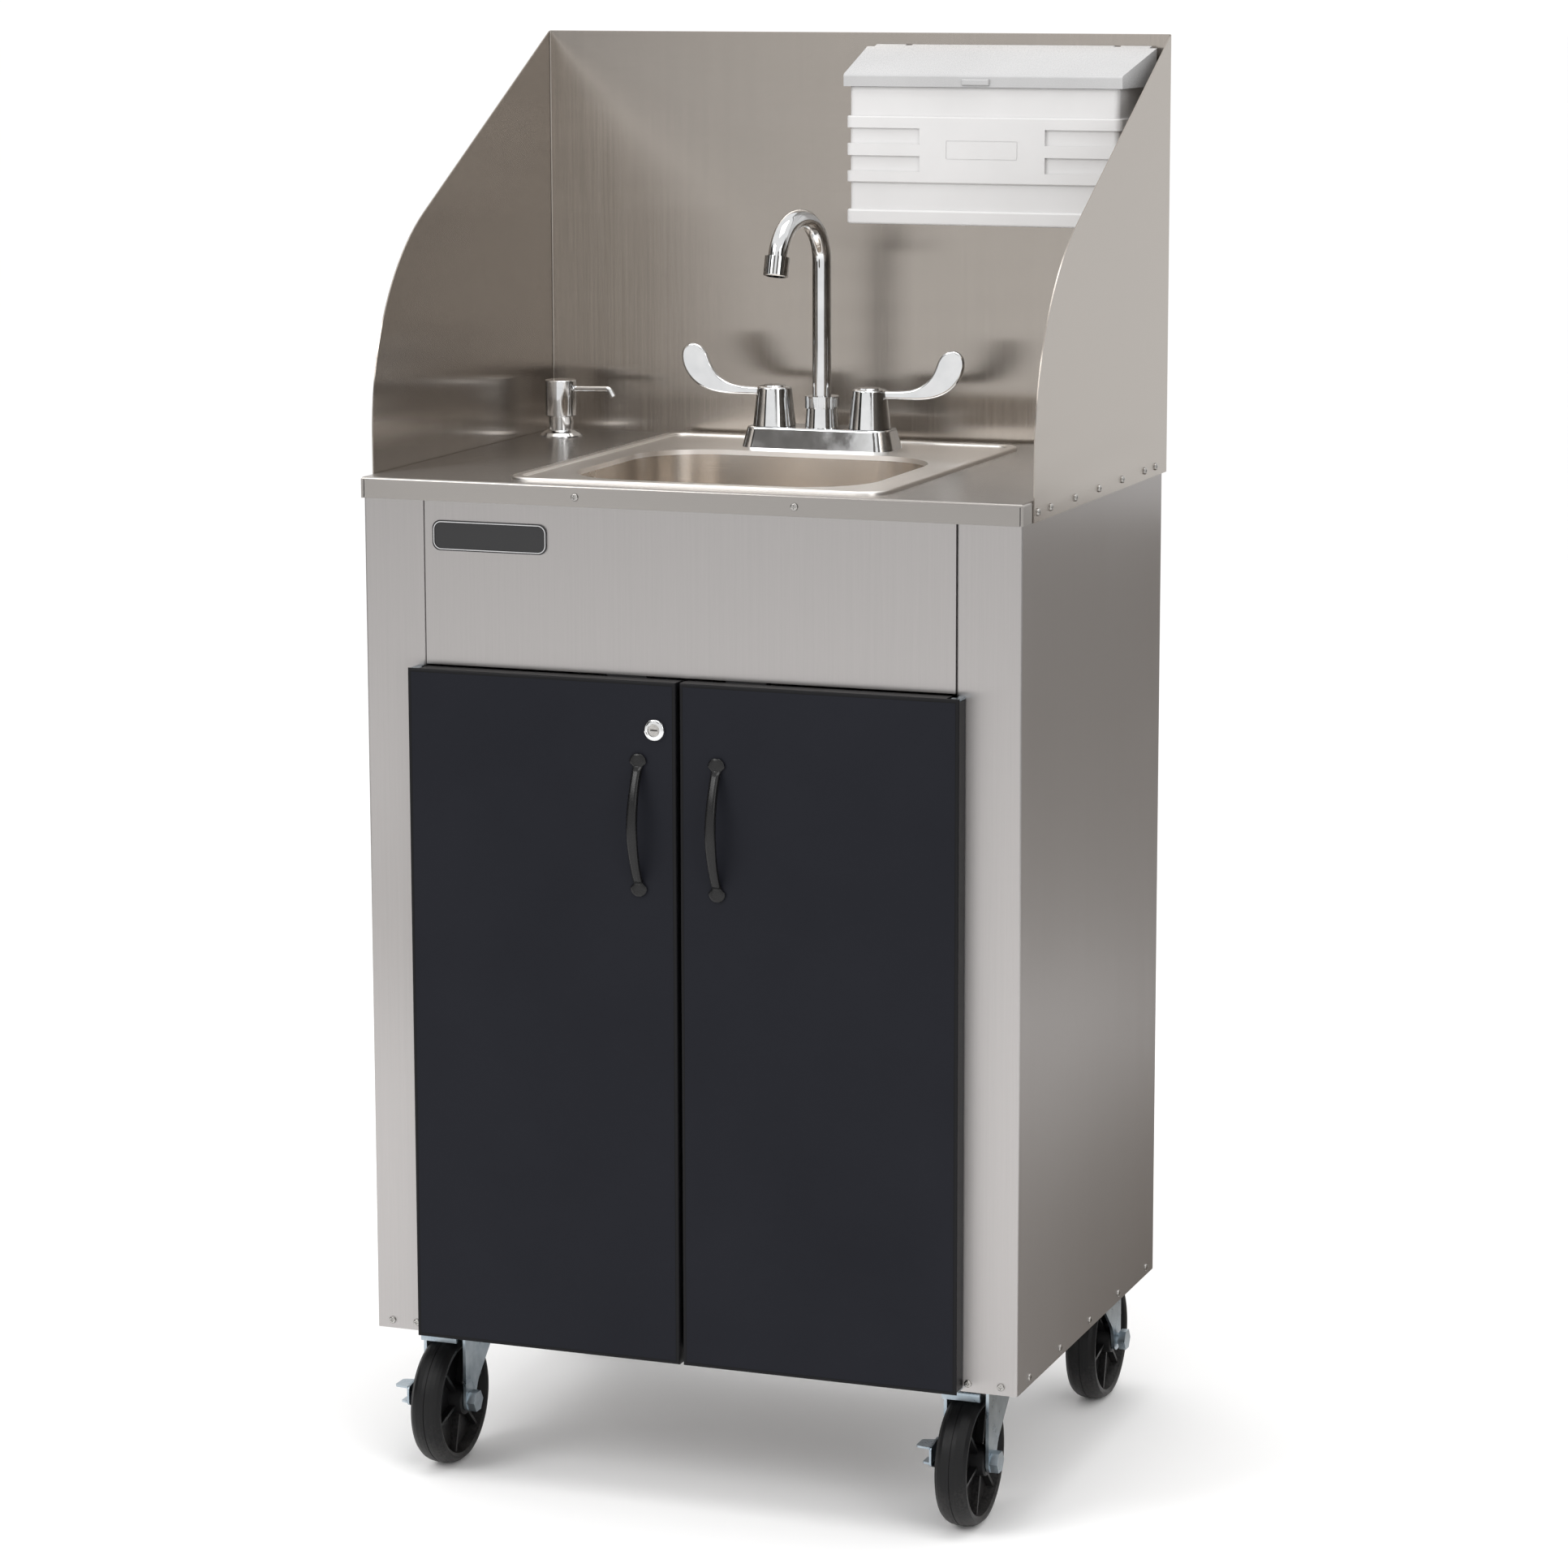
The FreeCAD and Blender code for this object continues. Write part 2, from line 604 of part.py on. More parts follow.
def sink_basin():
    """Drop-in basin: flat deck with a raised bead round it, faucet holes and a deep bowl."""
    rim_x = (-BASIN_HALF_WIDTH, BASIN_HALF_WIDTH)
    rim_y = (BASIN_FRONT, BASIN_BACK)
    deck = plate("z", rectangle(rim_x, rim_y, 26), COUNTER_TOP, PLINTH_BOTTOM)
    bead_outer = plate("z", rectangle(rim_x, rim_y, 26), COUNTER_TOP, COUNTER_TOP + 3.6)
    inset = 11.0
    bead_inner = plate(
        "z",
        rectangle((rim_x[0] + inset, rim_x[1] - inset), (rim_y[0] + inset, rim_y[1] - inset), 26 - inset),
        COUNTER_TOP - 1,
        COUNTER_TOP + 5,
    )
    bead = bead_outer.cut(bead_inner)
    bead = soften(bead, 1.9, lambda p, e: p.z > COUNTER_TOP + 3.5)
    shell = bowl_block(BASIN_SHEET, BOWL_FLOOR - BASIN_SHEET, PLINTH_BOTTOM)
    basin = fuse([deck, bead, shell])
    hollow = bowl_block(0, BOWL_FLOOR, COUNTER_TOP + 10)
    holes = [rod("z", DRAIN, 40, BOWL_FLOOR - 10, BOWL_FLOOR + 10)]
    for x in (-FAUCET_CENTRES / 2, FAUCET_CENTRES / 2):
        holes.append(rod("z", (x, FAUCET_Y), 14.5, COUNTER_TOP - 5, COUNTER_TOP + 5))
    return cut_all(basin, [hollow] + holes)


def drain_strainer():
    """Flanged strainer cup with a ring of holes in its floor, and the clamp nut below."""
    floor = BOWL_FLOOR
    cup = revolve(DRAIN, [
        (0, floor - 30), (36, floor - 30), (39.5, floor - 24), (39.5, floor), (45, floor),
        (45, floor + 1.2), (37, floor + 2.0), (35, floor - 22), (30, floor - 26), (0, floor - 26),
    ])
    holes = []
    for count, radius in ((6, 10.0), (12, 22.0)):
        for i in range(count):
            angle = 2 * math.pi * i / count
            spot = (DRAIN[0] + radius * math.cos(angle), DRAIN[1] + radius * math.sin(angle))
            holes.append(rod("z", spot, 2.6, floor - 31, floor - 25))
    nut = ring("z", DRAIN, 39.5, 52, floor - BASIN_SHEET - 9, floor - BASIN_SHEET)
    outlet = ring("z", DRAIN, 17, 20, floor - 46, floor - 30)
    return fuse([cut_all(cup, holes), nut, outlet])


TAIL_TOP = BOWL_FLOOR - 46
TAIL_BOTTOM = TAIL_TOP - 50


def drain_tailpiece():
    """Tube below the strainer, with its slip nut."""
    tube = ring("z", DRAIN, 16, 19, TAIL_BOTTOM, TAIL_TOP)
    nut = hexagon("z", DRAIN, 50, TAIL_TOP - 16, TAIL_TOP)
    nut = nut.cut(rod("z", DRAIN, 16, TAIL_TOP - 20, TAIL_TOP + 1))
    return fuse([tube, nut])


# ---------------------------------------------------------------- tanks
TANK_Y = (48.0, 292.0)
TANK_INNER_X = 9.0
TANK_OUTER_X = 229.0
TANK_TOP = 500.0
TANK_NECK = (119.0, 210.0)


def right_tank():
    """Blow-moulded tank with a neck on top and a grip hollow in its front shoulder."""
    x = (TANK_INNER_X, TANK_OUTER_X)
    body = plate("z", rectangle(x, TANK_Y, 28), PAN_TOP, TANK_TOP)
    body = soften(body, 16, lambda p, e: p.z < PAN_TOP + 0.1 or p.z > TANK_TOP - 0.1)
    wall = 3.0
    inner = plate(
        "z",
        rectangle((x[0] + wall, x[1] - wall), (TANK_Y[0] + wall, TANK_Y[1] - wall), 28 - wall),
        PAN_TOP + wall,
        TANK_TOP - wall,
    )
    inner = soften(inner, 13, lambda p, e: p.z < PAN_TOP + wall + 0.1 or p.z > TANK_TOP - wall - 0.1)
    neck = rod("z", TANK_NECK, 31, TANK_TOP - wall, TANK_TOP + 24)
    mouth = rod("z", TANK_NECK, 27, TANK_TOP - 2 * wall, TANK_TOP + 30)
    legs = []
    for side in (-1, 1):
        post_x = TANK_NECK[0] + side * 50
        legs.append(box((post_x - 9, post_x + 9), (84, 104), (TANK_TOP - wall, TANK_TOP + 26)))
    bar = box((TANK_NECK[0] - 59, TANK_NECK[0] + 59), (84, 104), (TANK_TOP + 26, TANK_TOP + 38))
    bar = soften(bar, 4, lambda p, e: True)
    return fuse([body, neck, bar] + legs).cut(inner).cut(mouth)


def tank_caps(bores):
    """Ribbed screw caps, each with the bore of the tube that enters it."""
    caps = []
    low = TANK_TOP + 6
    for side, bore in bores:
        centre = (side * TANK_NECK[0], TANK_NECK[1])
        cap = ring("z", centre, 31, 36, low, TANK_TOP + 24)
        lid = rod("z", centre, 36, TANK_TOP + 24, TANK_TOP + 30)
        ribs = []
        for i in range(24):
            rib = box((35.5, 37.2), (-1.2, 1.2), (low, TANK_TOP + 26))
            rib.rotate(Vector(0, 0, 0), Vector(0, 0, 1), 15 * i)
            rib.translate(Vector(centre[0], centre[1], 0))
            ribs.append(rib)
        hole = rod("z", centre, bore, TANK_TOP, TANK_TOP + 40)
        caps.append(fuse([cap, lid] + ribs).cut(hole))
    return Part.makeCompound(caps)


WASTE_PIPE_RADIUS = 19.0


def waste_pipe():
    """Rigid drain pipe from the tailpiece into the waste tank's cap."""
    x, y = TANK_NECK
    route = [
        Vector(DRAIN[0], DRAIN[1], TAIL_BOTTOM),
        Vector(DRAIN[0], DRAIN[1], TAIL_BOTTOM - 75),
        Vector(x, y, TANK_TOP + 105),
        Vector(x, y, TANK_TOP + 10),
    ]
    return bent_tube(route, 42, WASTE_PIPE_RADIUS, 16)


# ---------------------------------------------------------------- pump, heater and water lines
PUMP_Y = 405.0
PUMP_Z = 700.0
HEATER_X = (-290.0, -150.0)
HEATER_Y = (322.0, 450.0)
HEATER_Z = (595.0, 770.0)
HEATER_PORT_Y = 386.0
LINE_RADIUS = 5.5
PORT_RADIUS = 7.0
PORT_BORE = 5.5
INLET_X = (-255.0, -195.0)
INLET_Z = (545.0, 575.0)


def water_pump():
    """Diaphragm pump: finned motor, square pump head with two ports, and a foot plate."""
    centre = (PUMP_Y, PUMP_Z)
    motor = rod("x", centre, 30, 200, 290)
    fins = [rod("x", centre, 33, 208 + 12 * i, 212 + 12 * i) for i in range(6)]
    end_bell = soften(rod("x", centre, 27, 288, 300), 4, lambda p, e: p.x > 299)
    head = box((150, 200), (PUMP_Y - 36, PUMP_Y + 36), (PUMP_Z - 36, PUMP_Z + 36))
    head = soften(head, 8, lambda p, e: p.x < 150.1)
    foot = box((170, 290), (REAR_WALL - 8, REAR_WALL), (PUMP_Z - 42, PUMP_Z + 42))
    saddles = [
        box((x, x + 14), (PUMP_Y + 20, REAR_WALL - 8), (PUMP_Z - 16, PUMP_Z + 16)) for x in (180, 256)
    ]
    ports = [
        rod("z", (175, PUMP_Y), PORT_RADIUS, PUMP_Z + 30, PUMP_Z + 50),
        rod("z", (175, PUMP_Y), PORT_RADIUS, PUMP_Z - 50, PUMP_Z - 30),
        rod("x", (PUMP_Y, PUMP_Z + 15), PORT_RADIUS, 134, 152),
    ]
    sockets = [
        rod("z", (175, PUMP_Y), PORT_BORE, PUMP_Z + 38, PUMP_Z + 51),
        rod("z", (175, PUMP_Y), PORT_BORE, PUMP_Z - 51, PUMP_Z - 38),
        rod("x", (PUMP_Y, PUMP_Z + 15), PORT_BORE, 133, 144),
    ]
    return cut_all(fuse([motor, end_bell, head, foot] + fins + saddles + ports), sockets)


def water_heater():
    """Small storage heater: rounded case, thermostat knob and two ports on top."""
    case = box(HEATER_X, HEATER_Y, HEATER_Z)
    case = soften(case, 14, lambda p, e: p.y < HEATER_Y[1] - 1)
    bracket_height = (HEATER_Z[0] + 30, HEATER_Z[1] - 30)
    bracket = box((HEATER_X[0] + 15, HEATER_X[1] - 15), (HEATER_Y[1], REAR_WALL), bracket_height)
    middle = (HEATER_X[0] + HEATER_X[1]) / 2
    knob = rod("y", (middle, HEATER_Z[0] + 45), 15, HEATER_Y[0] - 9, HEATER_Y[0] + 2)
    knob = soften(knob, 2, lambda p, e: p.y < HEATER_Y[0] - 8)
    ports = []
    sockets = []
    for x in (middle - 25, middle + 25):
        ports.append(rod("z", (x, HEATER_PORT_Y), PORT_RADIUS, HEATER_Z[1] - 2, HEATER_Z[1] + 16))
        sockets.append(rod("z", (x, HEATER_PORT_Y), PORT_BORE, HEATER_Z[1] + 4, HEATER_Z[1] + 17))
    return cut_all(fuse([case, bracket, knob] + ports), sockets)


SHANK_BOTTOM = 905.0


def water_lines():
    """The four copper water lines: cold and hot to the faucet, feed to the heater, suction from the tank."""
    heater_middle = (HEATER_X[0] + HEATER_X[1]) / 2
    half = FAUCET_CENTRES / 2
    cold = [
        Vector(half, FAUCET_Y, SHANK_BOTTOM),
        Vector(half, FAUCET_Y, 850),
        Vector(175, PUMP_Y, 815),
        Vector(175, PUMP_Y, PUMP_Z + 38),
    ]
    hot = [
        Vector(-half, FAUCET_Y, SHANK_BOTTOM),
        Vector(-half, FAUCET_Y, 862),
        Vector(heater_middle + 25, HEATER_PORT_Y, 876),
        Vector(heater_middle + 25, HEATER_PORT_Y, HEATER_Z[1] + 4),
    ]
    feed = [
        Vector(144, PUMP_Y, PUMP_Z + 15),
        Vector(-90, PUMP_Y, PUMP_Z + 15),
        Vector(-120, PUMP_Y + 5, 900),
        Vector(heater_middle - 25, HEATER_PORT_Y, 900),
        Vector(heater_middle - 25, HEATER_PORT_Y, HEATER_Z[1] + 4),
    ]
    suction = [
        Vector(175, PUMP_Y, PUMP_Z - 38),
        Vector(175, PUMP_Y, 585),
        Vector(-60, 360, 590),
        Vector(-TANK_NECK[0], TANK_NECK[1], 600),
        Vector(-TANK_NECK[0], TANK_NECK[1], PAN_TOP + 30),
    ]
    lines = [(cold, 22), (hot, 22), (feed, 22), (suction, 30)]
    return Part.makeCompound([bent_tube(route, bend, LINE_RADIUS) for route, bend in lines])


def power_inlet():
    """Appliance inlet and rocker switch housing in one moulded module on the back wall."""
    outside = CABINET_DEPTH - SHEET
    flange = box(
        (INLET_X[0] - 5, INLET_X[1] + 5), (outside, outside + 1.1), (INLET_Z[0] - 5, INLET_Z[1] + 5)
    )
    case = box(INLET_X, (REAR_WALL - 26, outside), INLET_Z)
    middle = (INLET_Z[0] + INLET_Z[1]) / 2
    socket = box((INLET_X[0] + 4, INLET_X[0] + 29), (outside - 18, outside + 3), (middle - 9, middle + 9))
    pins = [
        box((INLET_X[0] + x, INLET_X[0] + x + 1.6), (outside - 19, outside - 3), (middle - 3, middle + 3))
        for x in (8.0, 15.7, 23.4)
    ]
    well = box((ROCKER_X - 8.4, ROCKER_X + 8.4), (outside - 12, outside + 3), (middle - 11.4, middle + 11.4))
    pivot = rod("x", (ROCKER_Y, ROCKER_Z), 1.5 + FIT, ROCKER_X - 10.5, ROCKER_X + 10.5)
    body = cut_all(fuse([flange, case]), [socket, well, pivot])
    return fuse([body] + pins)


ROCKER_X = INLET_X[1] - 13.0
ROCKER_Z = (INLET_Z[0] + INLET_Z[1]) / 2
ROCKER_Y = CABINET_DEPTH - SHEET - 3.0
ROCKER_TILT = 8.0


def switch_rocker():
    """Rocker in its off position, drawn tilted about its cross pin."""
    outline = [
        (ROCKER_Y - 6, ROCKER_Z, 3), (ROCKER_Y + 1.5, ROCKER_Z - 10.6, 1.0),
        (ROCKER_Y + 3.0, ROCKER_Z, 0), (ROCKER_Y + 1.5, ROCKER_Z + 10.6, 1.0),
    ]
    rocker = plate("x", outline, ROCKER_X - 8.0, ROCKER_X + 8.0)
    rocker = fuse([rocker, rod("x", (ROCKER_Y, ROCKER_Z), 1.5, ROCKER_X - 10.2, ROCKER_X + 10.2)])
    return turned(rocker, Vector(ROCKER_X, ROCKER_Y, ROCKER_Z), Vector(1, 0, 0), ROCKER_TILT)


# ---------------------------------------------------------------- faucet
HUB_BOTTOM = PLINTH_TOP + 0.3
HUB_TOP = HUB_BOTTOM + 39.0
COLLAR_TOP = PLINTH_TOP + 31.0
STEM_RADIUS = 8.0


def faucet_base():
    """Tapered plinth that covers both faucet holes."""
    wires = []
    for half_x, half_y, radius, level in ((80, 28, 16, PLINTH_BOTTOM), (75, 23.5, 14, PLINTH_TOP)):
        outline = rectangle((-half_x, half_x), (FAUCET_Y - half_y, FAUCET_Y + half_y), radius)
        points = [Vector(x, y, level) for x, y, r in outline]
        wires.append(Part.Wire(rounded_edges(points, [radius] * 4, True)))
    body = Part.makeLoft(wires, True, False)
    body = soften(body, 2.5, lambda p, e: p.z > PLINTH_TOP - 0.1)
    holes = [rod("z", (x, FAUCET_Y), 12, PLINTH_BOTTOM - 1, PLINTH_TOP + 1)
             for x in (-FAUCET_CENTRES / 2, FAUCET_CENTRES / 2)]
    return cut_all(body, holes)


def valve_bodies():
    """The two valves: stem above the plinth, threaded shank below the deck, lock nut."""
    valves = []
    for x in (-FAUCET_CENTRES / 2, FAUCET_CENTRES / 2):
        centre = (x, FAUCET_Y)
        valves.append(fuse([
            rod("z", centre, STEM_RADIUS, PLINTH_TOP - 2, HUB_TOP - 12),
            rod("z", centre, 12, PLINTH_BOTTOM - 8, PLINTH_TOP),
            rod("z", centre, 10.5, SHANK_BOTTOM + 10, PLINTH_BOTTOM - 6),
            ring("z", centre, 10.4, 21, COUNTER_UNDERSIDE - 9, COUNTER_UNDERSIDE - 2),
            hexagon("z", centre, 24, SHANK_BOTTOM, SHANK_BOTTOM + 18),
        ]))
    return Part.makeCompound(valves)


def blade_outline():
    """Side view of one wrist blade: a thin neck that sweeps up into a broad rounded paddle."""
    upper = [(16, 37.5), (34, 38.2), (50, 41.5), (62, 49.5), (69, 60.0), (74, 71.5), (80.5, 77.8)]
    tip = [(89, 79.6), (97, 75.0), (99.2, 65.0)]
    lower = [(95.5, 52.5), (85.5, 40.5), (71, 33.0), (52, 29.8), (16, 29.5)]
    return upper + tip + lower


def right_faucet_handle():
    """Tapered hub with a dished top and a wrist blade, in one casting."""
    x = FAUCET_CENTRES / 2
    hub = cone((x, FAUCET_Y), 21.5, 17.2, HUB_BOTTOM, HUB_TOP)
    hub = soften(hub, 2.5, lambda p, e: p.z > HUB_TOP - 0.1)
    cap = cone((x, FAUCET_Y), 12.5, 11.0, HUB_TOP - 1, HUB_TOP + 1.2)
    points = [Vector(x + a, FAUCET_Y - 3.2, HUB_BOTTOM + b) for a, b in blade_outline()]
    curve = Part.BSplineCurve()
    curve.interpolate(points)
    root = Part.LineSegment(points[-1], points[0]).toShape()
    blade = Part.Face(Part.Wire([curve.toShape(), root])).extrude(Vector(0, 6.4, 0))
    blade = soften(blade, 2.2, lambda p, e: e.Length > 60)
    socket = rod("z", (x, FAUCET_Y), STEM_RADIUS + FIT, HUB_BOTTOM - 1, HUB_TOP - 11)
    hollow = cone((x, FAUCET_Y), 19.0, 17.5, HUB_BOTTOM - 1, HUB_BOTTOM + 14)
    sleeve = ring("z", (x, FAUCET_Y), STEM_RADIUS + FIT, STEM_RADIUS + 3, HUB_BOTTOM, HUB_BOTTOM + 15)
    return fuse([fuse([hub, cap, blade]).cut(hollow), sleeve]).cut(socket)


def spout_nut():
    """Collar that holds the spout: smooth lower body and knurled upper ring."""
    centre = (0, FAUCET_Y)
    body = cone(centre, 17.0, 15.6, PLINTH_TOP, COLLAR_TOP - 12)
    band = rod("z", centre, 17.0, COLLAR_TOP - 12, COLLAR_TOP)
    grooves = []
    for i in range(36):
        groove = box((16.6, 18), (-0.5, 0.5), (COLLAR_TOP - 10.5, COLLAR_TOP - 1.5))
        groove.rotate(Vector(0, 0, 0), Vector(0, 0, 1), 10 * i)
        groove.translate(Vector(0, FAUCET_Y, 0))
        grooves.append(groove)
    bore = rod("z", centre, SPOUT_RADIUS + 0.08, PLINTH_TOP - 1, COLLAR_TOP + 1)
    return cut_all(fuse([body, band]), grooves + [bore])


def spout_axis_frame(height, reach):
    """A point in the spout's own plane: reach forwards from the riser, at a height."""
    turn = math.radians(SPOUT_TURN)
    return Vector(-math.sin(turn) * reach, FAUCET_Y - math.cos(turn) * reach, height)


def spout_bend_point(degrees):
    """A point on the gooseneck's centreline, by the angle turned since the riser."""
    angle = math.radians(degrees)
    reach = SPOUT_BEND_RADIUS * (1 - math.cos(angle))
    return spout_axis_frame(SPOUT_BEND_HEIGHT + SPOUT_BEND_RADIUS * math.sin(angle), reach)


def spout_end_direction():
    """Unit direction of the water as it leaves the spout."""
    ahead = spout_bend_point(SPOUT_BEND_ANGLE + 0.5)
    behind = spout_bend_point(SPOUT_BEND_ANGLE - 0.5)
    return (ahead - behind).normalize()


def spout():
    """Gooseneck tube: a straight riser and one bend over the bowl."""
    foot = Vector(0, FAUCET_Y, PLINTH_TOP + 2.5)
    bend_start = spout_bend_point(0)
    bend_end = spout_bend_point(SPOUT_BEND_ANGLE)
    tip = bend_end + spout_end_direction() * 6
    path = Part.Wire([
        Part.LineSegment(foot, bend_start).toShape(),
        Part.Arc(bend_start, spout_bend_point(SPOUT_BEND_ANGLE / 2), bend_end).toShape(),
        Part.LineSegment(bend_end, tip).toShape(),
    ])

    def tube(radius):
        section = Part.Wire(Part.Circle(foot, Vector(0, 0, 1), radius).toShape())
        return path.makePipeShell([section], True, False)

    return tube(SPOUT_RADIUS).cut(tube(SPOUT_RADIUS - 1.6))


def aerator():
    """Screwed end piece of the spout, with its mesh disc."""
    body = rod("z", (0, 0), 12.4, 0, 19.5)
    body = soften(body, 1.5, lambda p, e: p.z > 19.4)
    seat = rod("z", (0, 0), SPOUT_RADIUS, -1, 6)
    mouth = rod("z", (0, 0), 9.6, 15, 21)
    passage = rod("z", (0, 0), 7.5, 5, 13)
    mesh = [rod("z", (4.2 * i, 4.2 * j), 1.3, 12, 16) for i in (-1, 0, 1) for j in (-1, 0, 1)]
    body = cut_all(body, [seat, mouth, passage] + mesh)
    return aimed(body, spout_bend_point(SPOUT_BEND_ANGLE), spout_end_direction())


# ---------------------------------------------------------------- soap pump
SOAP = (SOAP_X, SOAP_Y)
SOAP_COLLAR_TOP = COUNTER_TOP + 21.0
SOAP_HEAD_BOTTOM = COUNTER_TOP + 20.5
SOAP_HEAD_TOP = COUNTER_TOP + 58.0


def soap_collar():
    """Bevelled flange and guide sleeve on the counter, threaded shank and nut below it."""
    top = COUNTER_TOP
    profile = [
        (6.0, top - 60), (11.5, top - 60), (11.5, top), (22.0, top), (22.0, top + 1.2), (19.0, top + 4.0),
        (14.5, top + 6.5), (12.6, top + 7.0), (12.6, SOAP_COLLAR_TOP), (6.0, SOAP_COLLAR_TOP),
    ]
    nut = hexagon("z", SOAP, 36, COUNTER_UNDERSIDE - 8, COUNTER_UNDERSIDE)
    nut = nut.cut(rod("z", SOAP, 11, COUNTER_UNDERSIDE - 20, COUNTER_UNDERSIDE + 1))
    return fuse([revolve(SOAP, profile), nut])


def soap_bottle():
    """Bottle that screws on below the counter."""
    low = COUNTER_TOP - 200
    neck_top = COUNTER_TOP - 40
    profile = [
        (0, low), (27, low), (30, low + 4), (30, neck_top - 36), (24, neck_top - 24), (15.5, neck_top - 18),
        (15.5, neck_top), (11.6, neck_top), (11.6, neck_top - 22), (22, neck_top - 30),
        (27.5, neck_top - 40), (27.5, low + 5), (25, low + 2.5), (0, low + 2.5),
    ]
    return revolve(SOAP, profile)


def soap_stem():
    """Stem that turns in the sleeve; the pump head rides up and down on it."""
    return rod("z", SOAP, 5.95, COUNTER_TOP - 150, SOAP_COLLAR_TOP + 16)


def soap_pump_head():
    """Press-down head with its side spout turned down at the tip."""
    head = rod("z", SOAP, 16.2, SOAP_HEAD_BOTTOM, SOAP_HEAD_TOP)
    head = soften(head, 1.2, lambda p, e: True)
    waist = ring("z", SOAP, 15.6, 18, SOAP_HEAD_TOP - 7.5, SOAP_HEAD_TOP - 6.3)
    skirt = rod("z", SOAP, 13.2, SOAP_HEAD_BOTTOM - 1, SOAP_HEAD_BOTTOM + 14)
    bore = rod("z", SOAP, 5.95, SOAP_HEAD_BOTTOM, SOAP_COLLAR_TOP + 16)
    z = SOAP_HEAD_TOP - 9.0
    route = [
        Vector(SOAP_X + 12, SOAP_Y, z),
        Vector(SOAP_X + 54, SOAP_Y, z + 1.0),
        Vector(SOAP_X + 58.5, SOAP_Y, z - 7.0),
    ]
    nozzle = bent_tube(route, 5, 2.9)
    return fuse([cut_all(head, [waist, skirt, bore]), nozzle])


# ---------------------------------------------------------------- towel dispenser
WALL = 3.0
DISPENSER_BACK = GUARD_BACK_INNER
LID_AXIS = (GUARD_BACK_INNER - 6.5, 1380.0)
LID_LUGS = (DISPENSER_LEFT + 30, DISPENSER_RIGHT - 36)
LID_PIN = 2.0
BAND = 3.0
RAISED_ZONE = (1251.0, 1316.0)
POCKETS = ((1262.0, 1277.5), (1289.0, 1304.5))
POCKET_START = 64.4


def wrap_band(low, high, proud, radius):
    """A band round the front and the sides of the dispenser's case, standing proud of it."""
    left = DISPENSER_LEFT + BAND - proud
    right = DISPENSER_RIGHT - BAND + proud
    front = DISPENSER_FRONT + BAND - proud
    back = DISPENSER_BACK
    outline = [(left, back), (left, front, radius), (right, front, radius), (right, back)]
    return plate("z", outline, low, high)


def towel_dispenser_body():
    """Open-topped case with a raised zone that has pockets at its ends, and a slot in its floor."""
    x = (DISPENSER_LEFT + BAND, DISPENSER_RIGHT - BAND)
    front = DISPENSER_FRONT + BAND
    middle = (x[0] + x[1]) / 2
    case = wrap_band(DISPENSER_BOTTOM, DISPENSER_RIM, 0.0, 6)

    def long_and_free(p, e):
        return e.Length > 60 and p.y < DISPENSER_BACK - 1

    lip = soften(wrap_band(DISPENSER_BOTTOM, DISPENSER_BOTTOM + 14.5, BAND, 7), 2.2, long_and_free)
    zone = soften(wrap_band(*RAISED_ZONE, BAND, 7), 1.4, long_and_free)
    pockets = []
    for low, high in POCKETS:
        hollow = wrap_band(low, high, BAND + 1, 7).cut(wrap_band(low - 1, high + 1, 0.2, 6))
        blank = (middle - POCKET_START, middle + POCKET_START)
        reach = box(blank, (front - 20, front + 20), (low - 1, high + 1))
        pockets.append(hollow.cut(reach))
    outer = rectangle((middle - 37.0, middle + 37.0), (1274.0, 1293.0), 2)
    inner = rectangle((middle - 35.8, middle + 35.8), (1275.2, 1291.8), 1.2)
    groove = plate("y", outer, front - BAND - 1, front - BAND + 0.5)
    groove = groove.cut(plate("y", inner, front - BAND - 2, front))
    inside_y = DISPENSER_BACK - WALL
    back_height = (DISPENSER_BOTTOM + 8, LID_AXIS[1] - 8)
    back_wall = box((x[0] - 6, x[1] + 6), (inside_y, DISPENSER_BACK), back_height)
    lugs = []
    for start in LID_LUGS:
        width = (start, start + 6)
        lugs.append(box(width, (LID_AXIS[0] - 3.5, inside_y), (LID_AXIS[1] - 14, LID_AXIS[1] + 2)))
        lugs.append(box(width, (LID_AXIS[0] - 3.5, DISPENSER_BACK), (LID_AXIS[1] - 30, LID_AXIS[1] - 8)))
        lugs.append(rod("x", LID_AXIS, LID_PIN, start - 8, start + 14))
    floor = (DISPENSER_BOTTOM - 1, DISPENSER_BOTTOM + WALL)
    cavity = box((x[0] + WALL, x[1] - WALL), (front + WALL, inside_y), (floor[1], OVERALL_HEIGHT))
    slot = box((x[0] + 40, x[1] - 40), (front + 22, front + 62), (floor[0], floor[1] + 1))
    shell = cut_all(fuse([case, lip, zone, back_wall]), [cavity, slot, groove] + pockets)
    return fuse([shell] + lugs)


def paper_towels():
    """Stack of folded towels inside the dispenser."""
    x = (DISPENSER_LEFT + 16, DISPENSER_RIGHT - 16)
    y = (DISPENSER_FRONT + 10, DISPENSER_BACK - WALL - 2)
    layers = []
    low = DISPENSER_BOTTOM + WALL
    for i in range(8):
        inset = 0.6 if i % 2 else 0.0
        z = low + 13.0 * i
        layers.append(box((x[0] + inset, x[1] - inset), (y[0] + inset, y[1] - inset), (z, z + 13.0)))
    return fuse(layers)


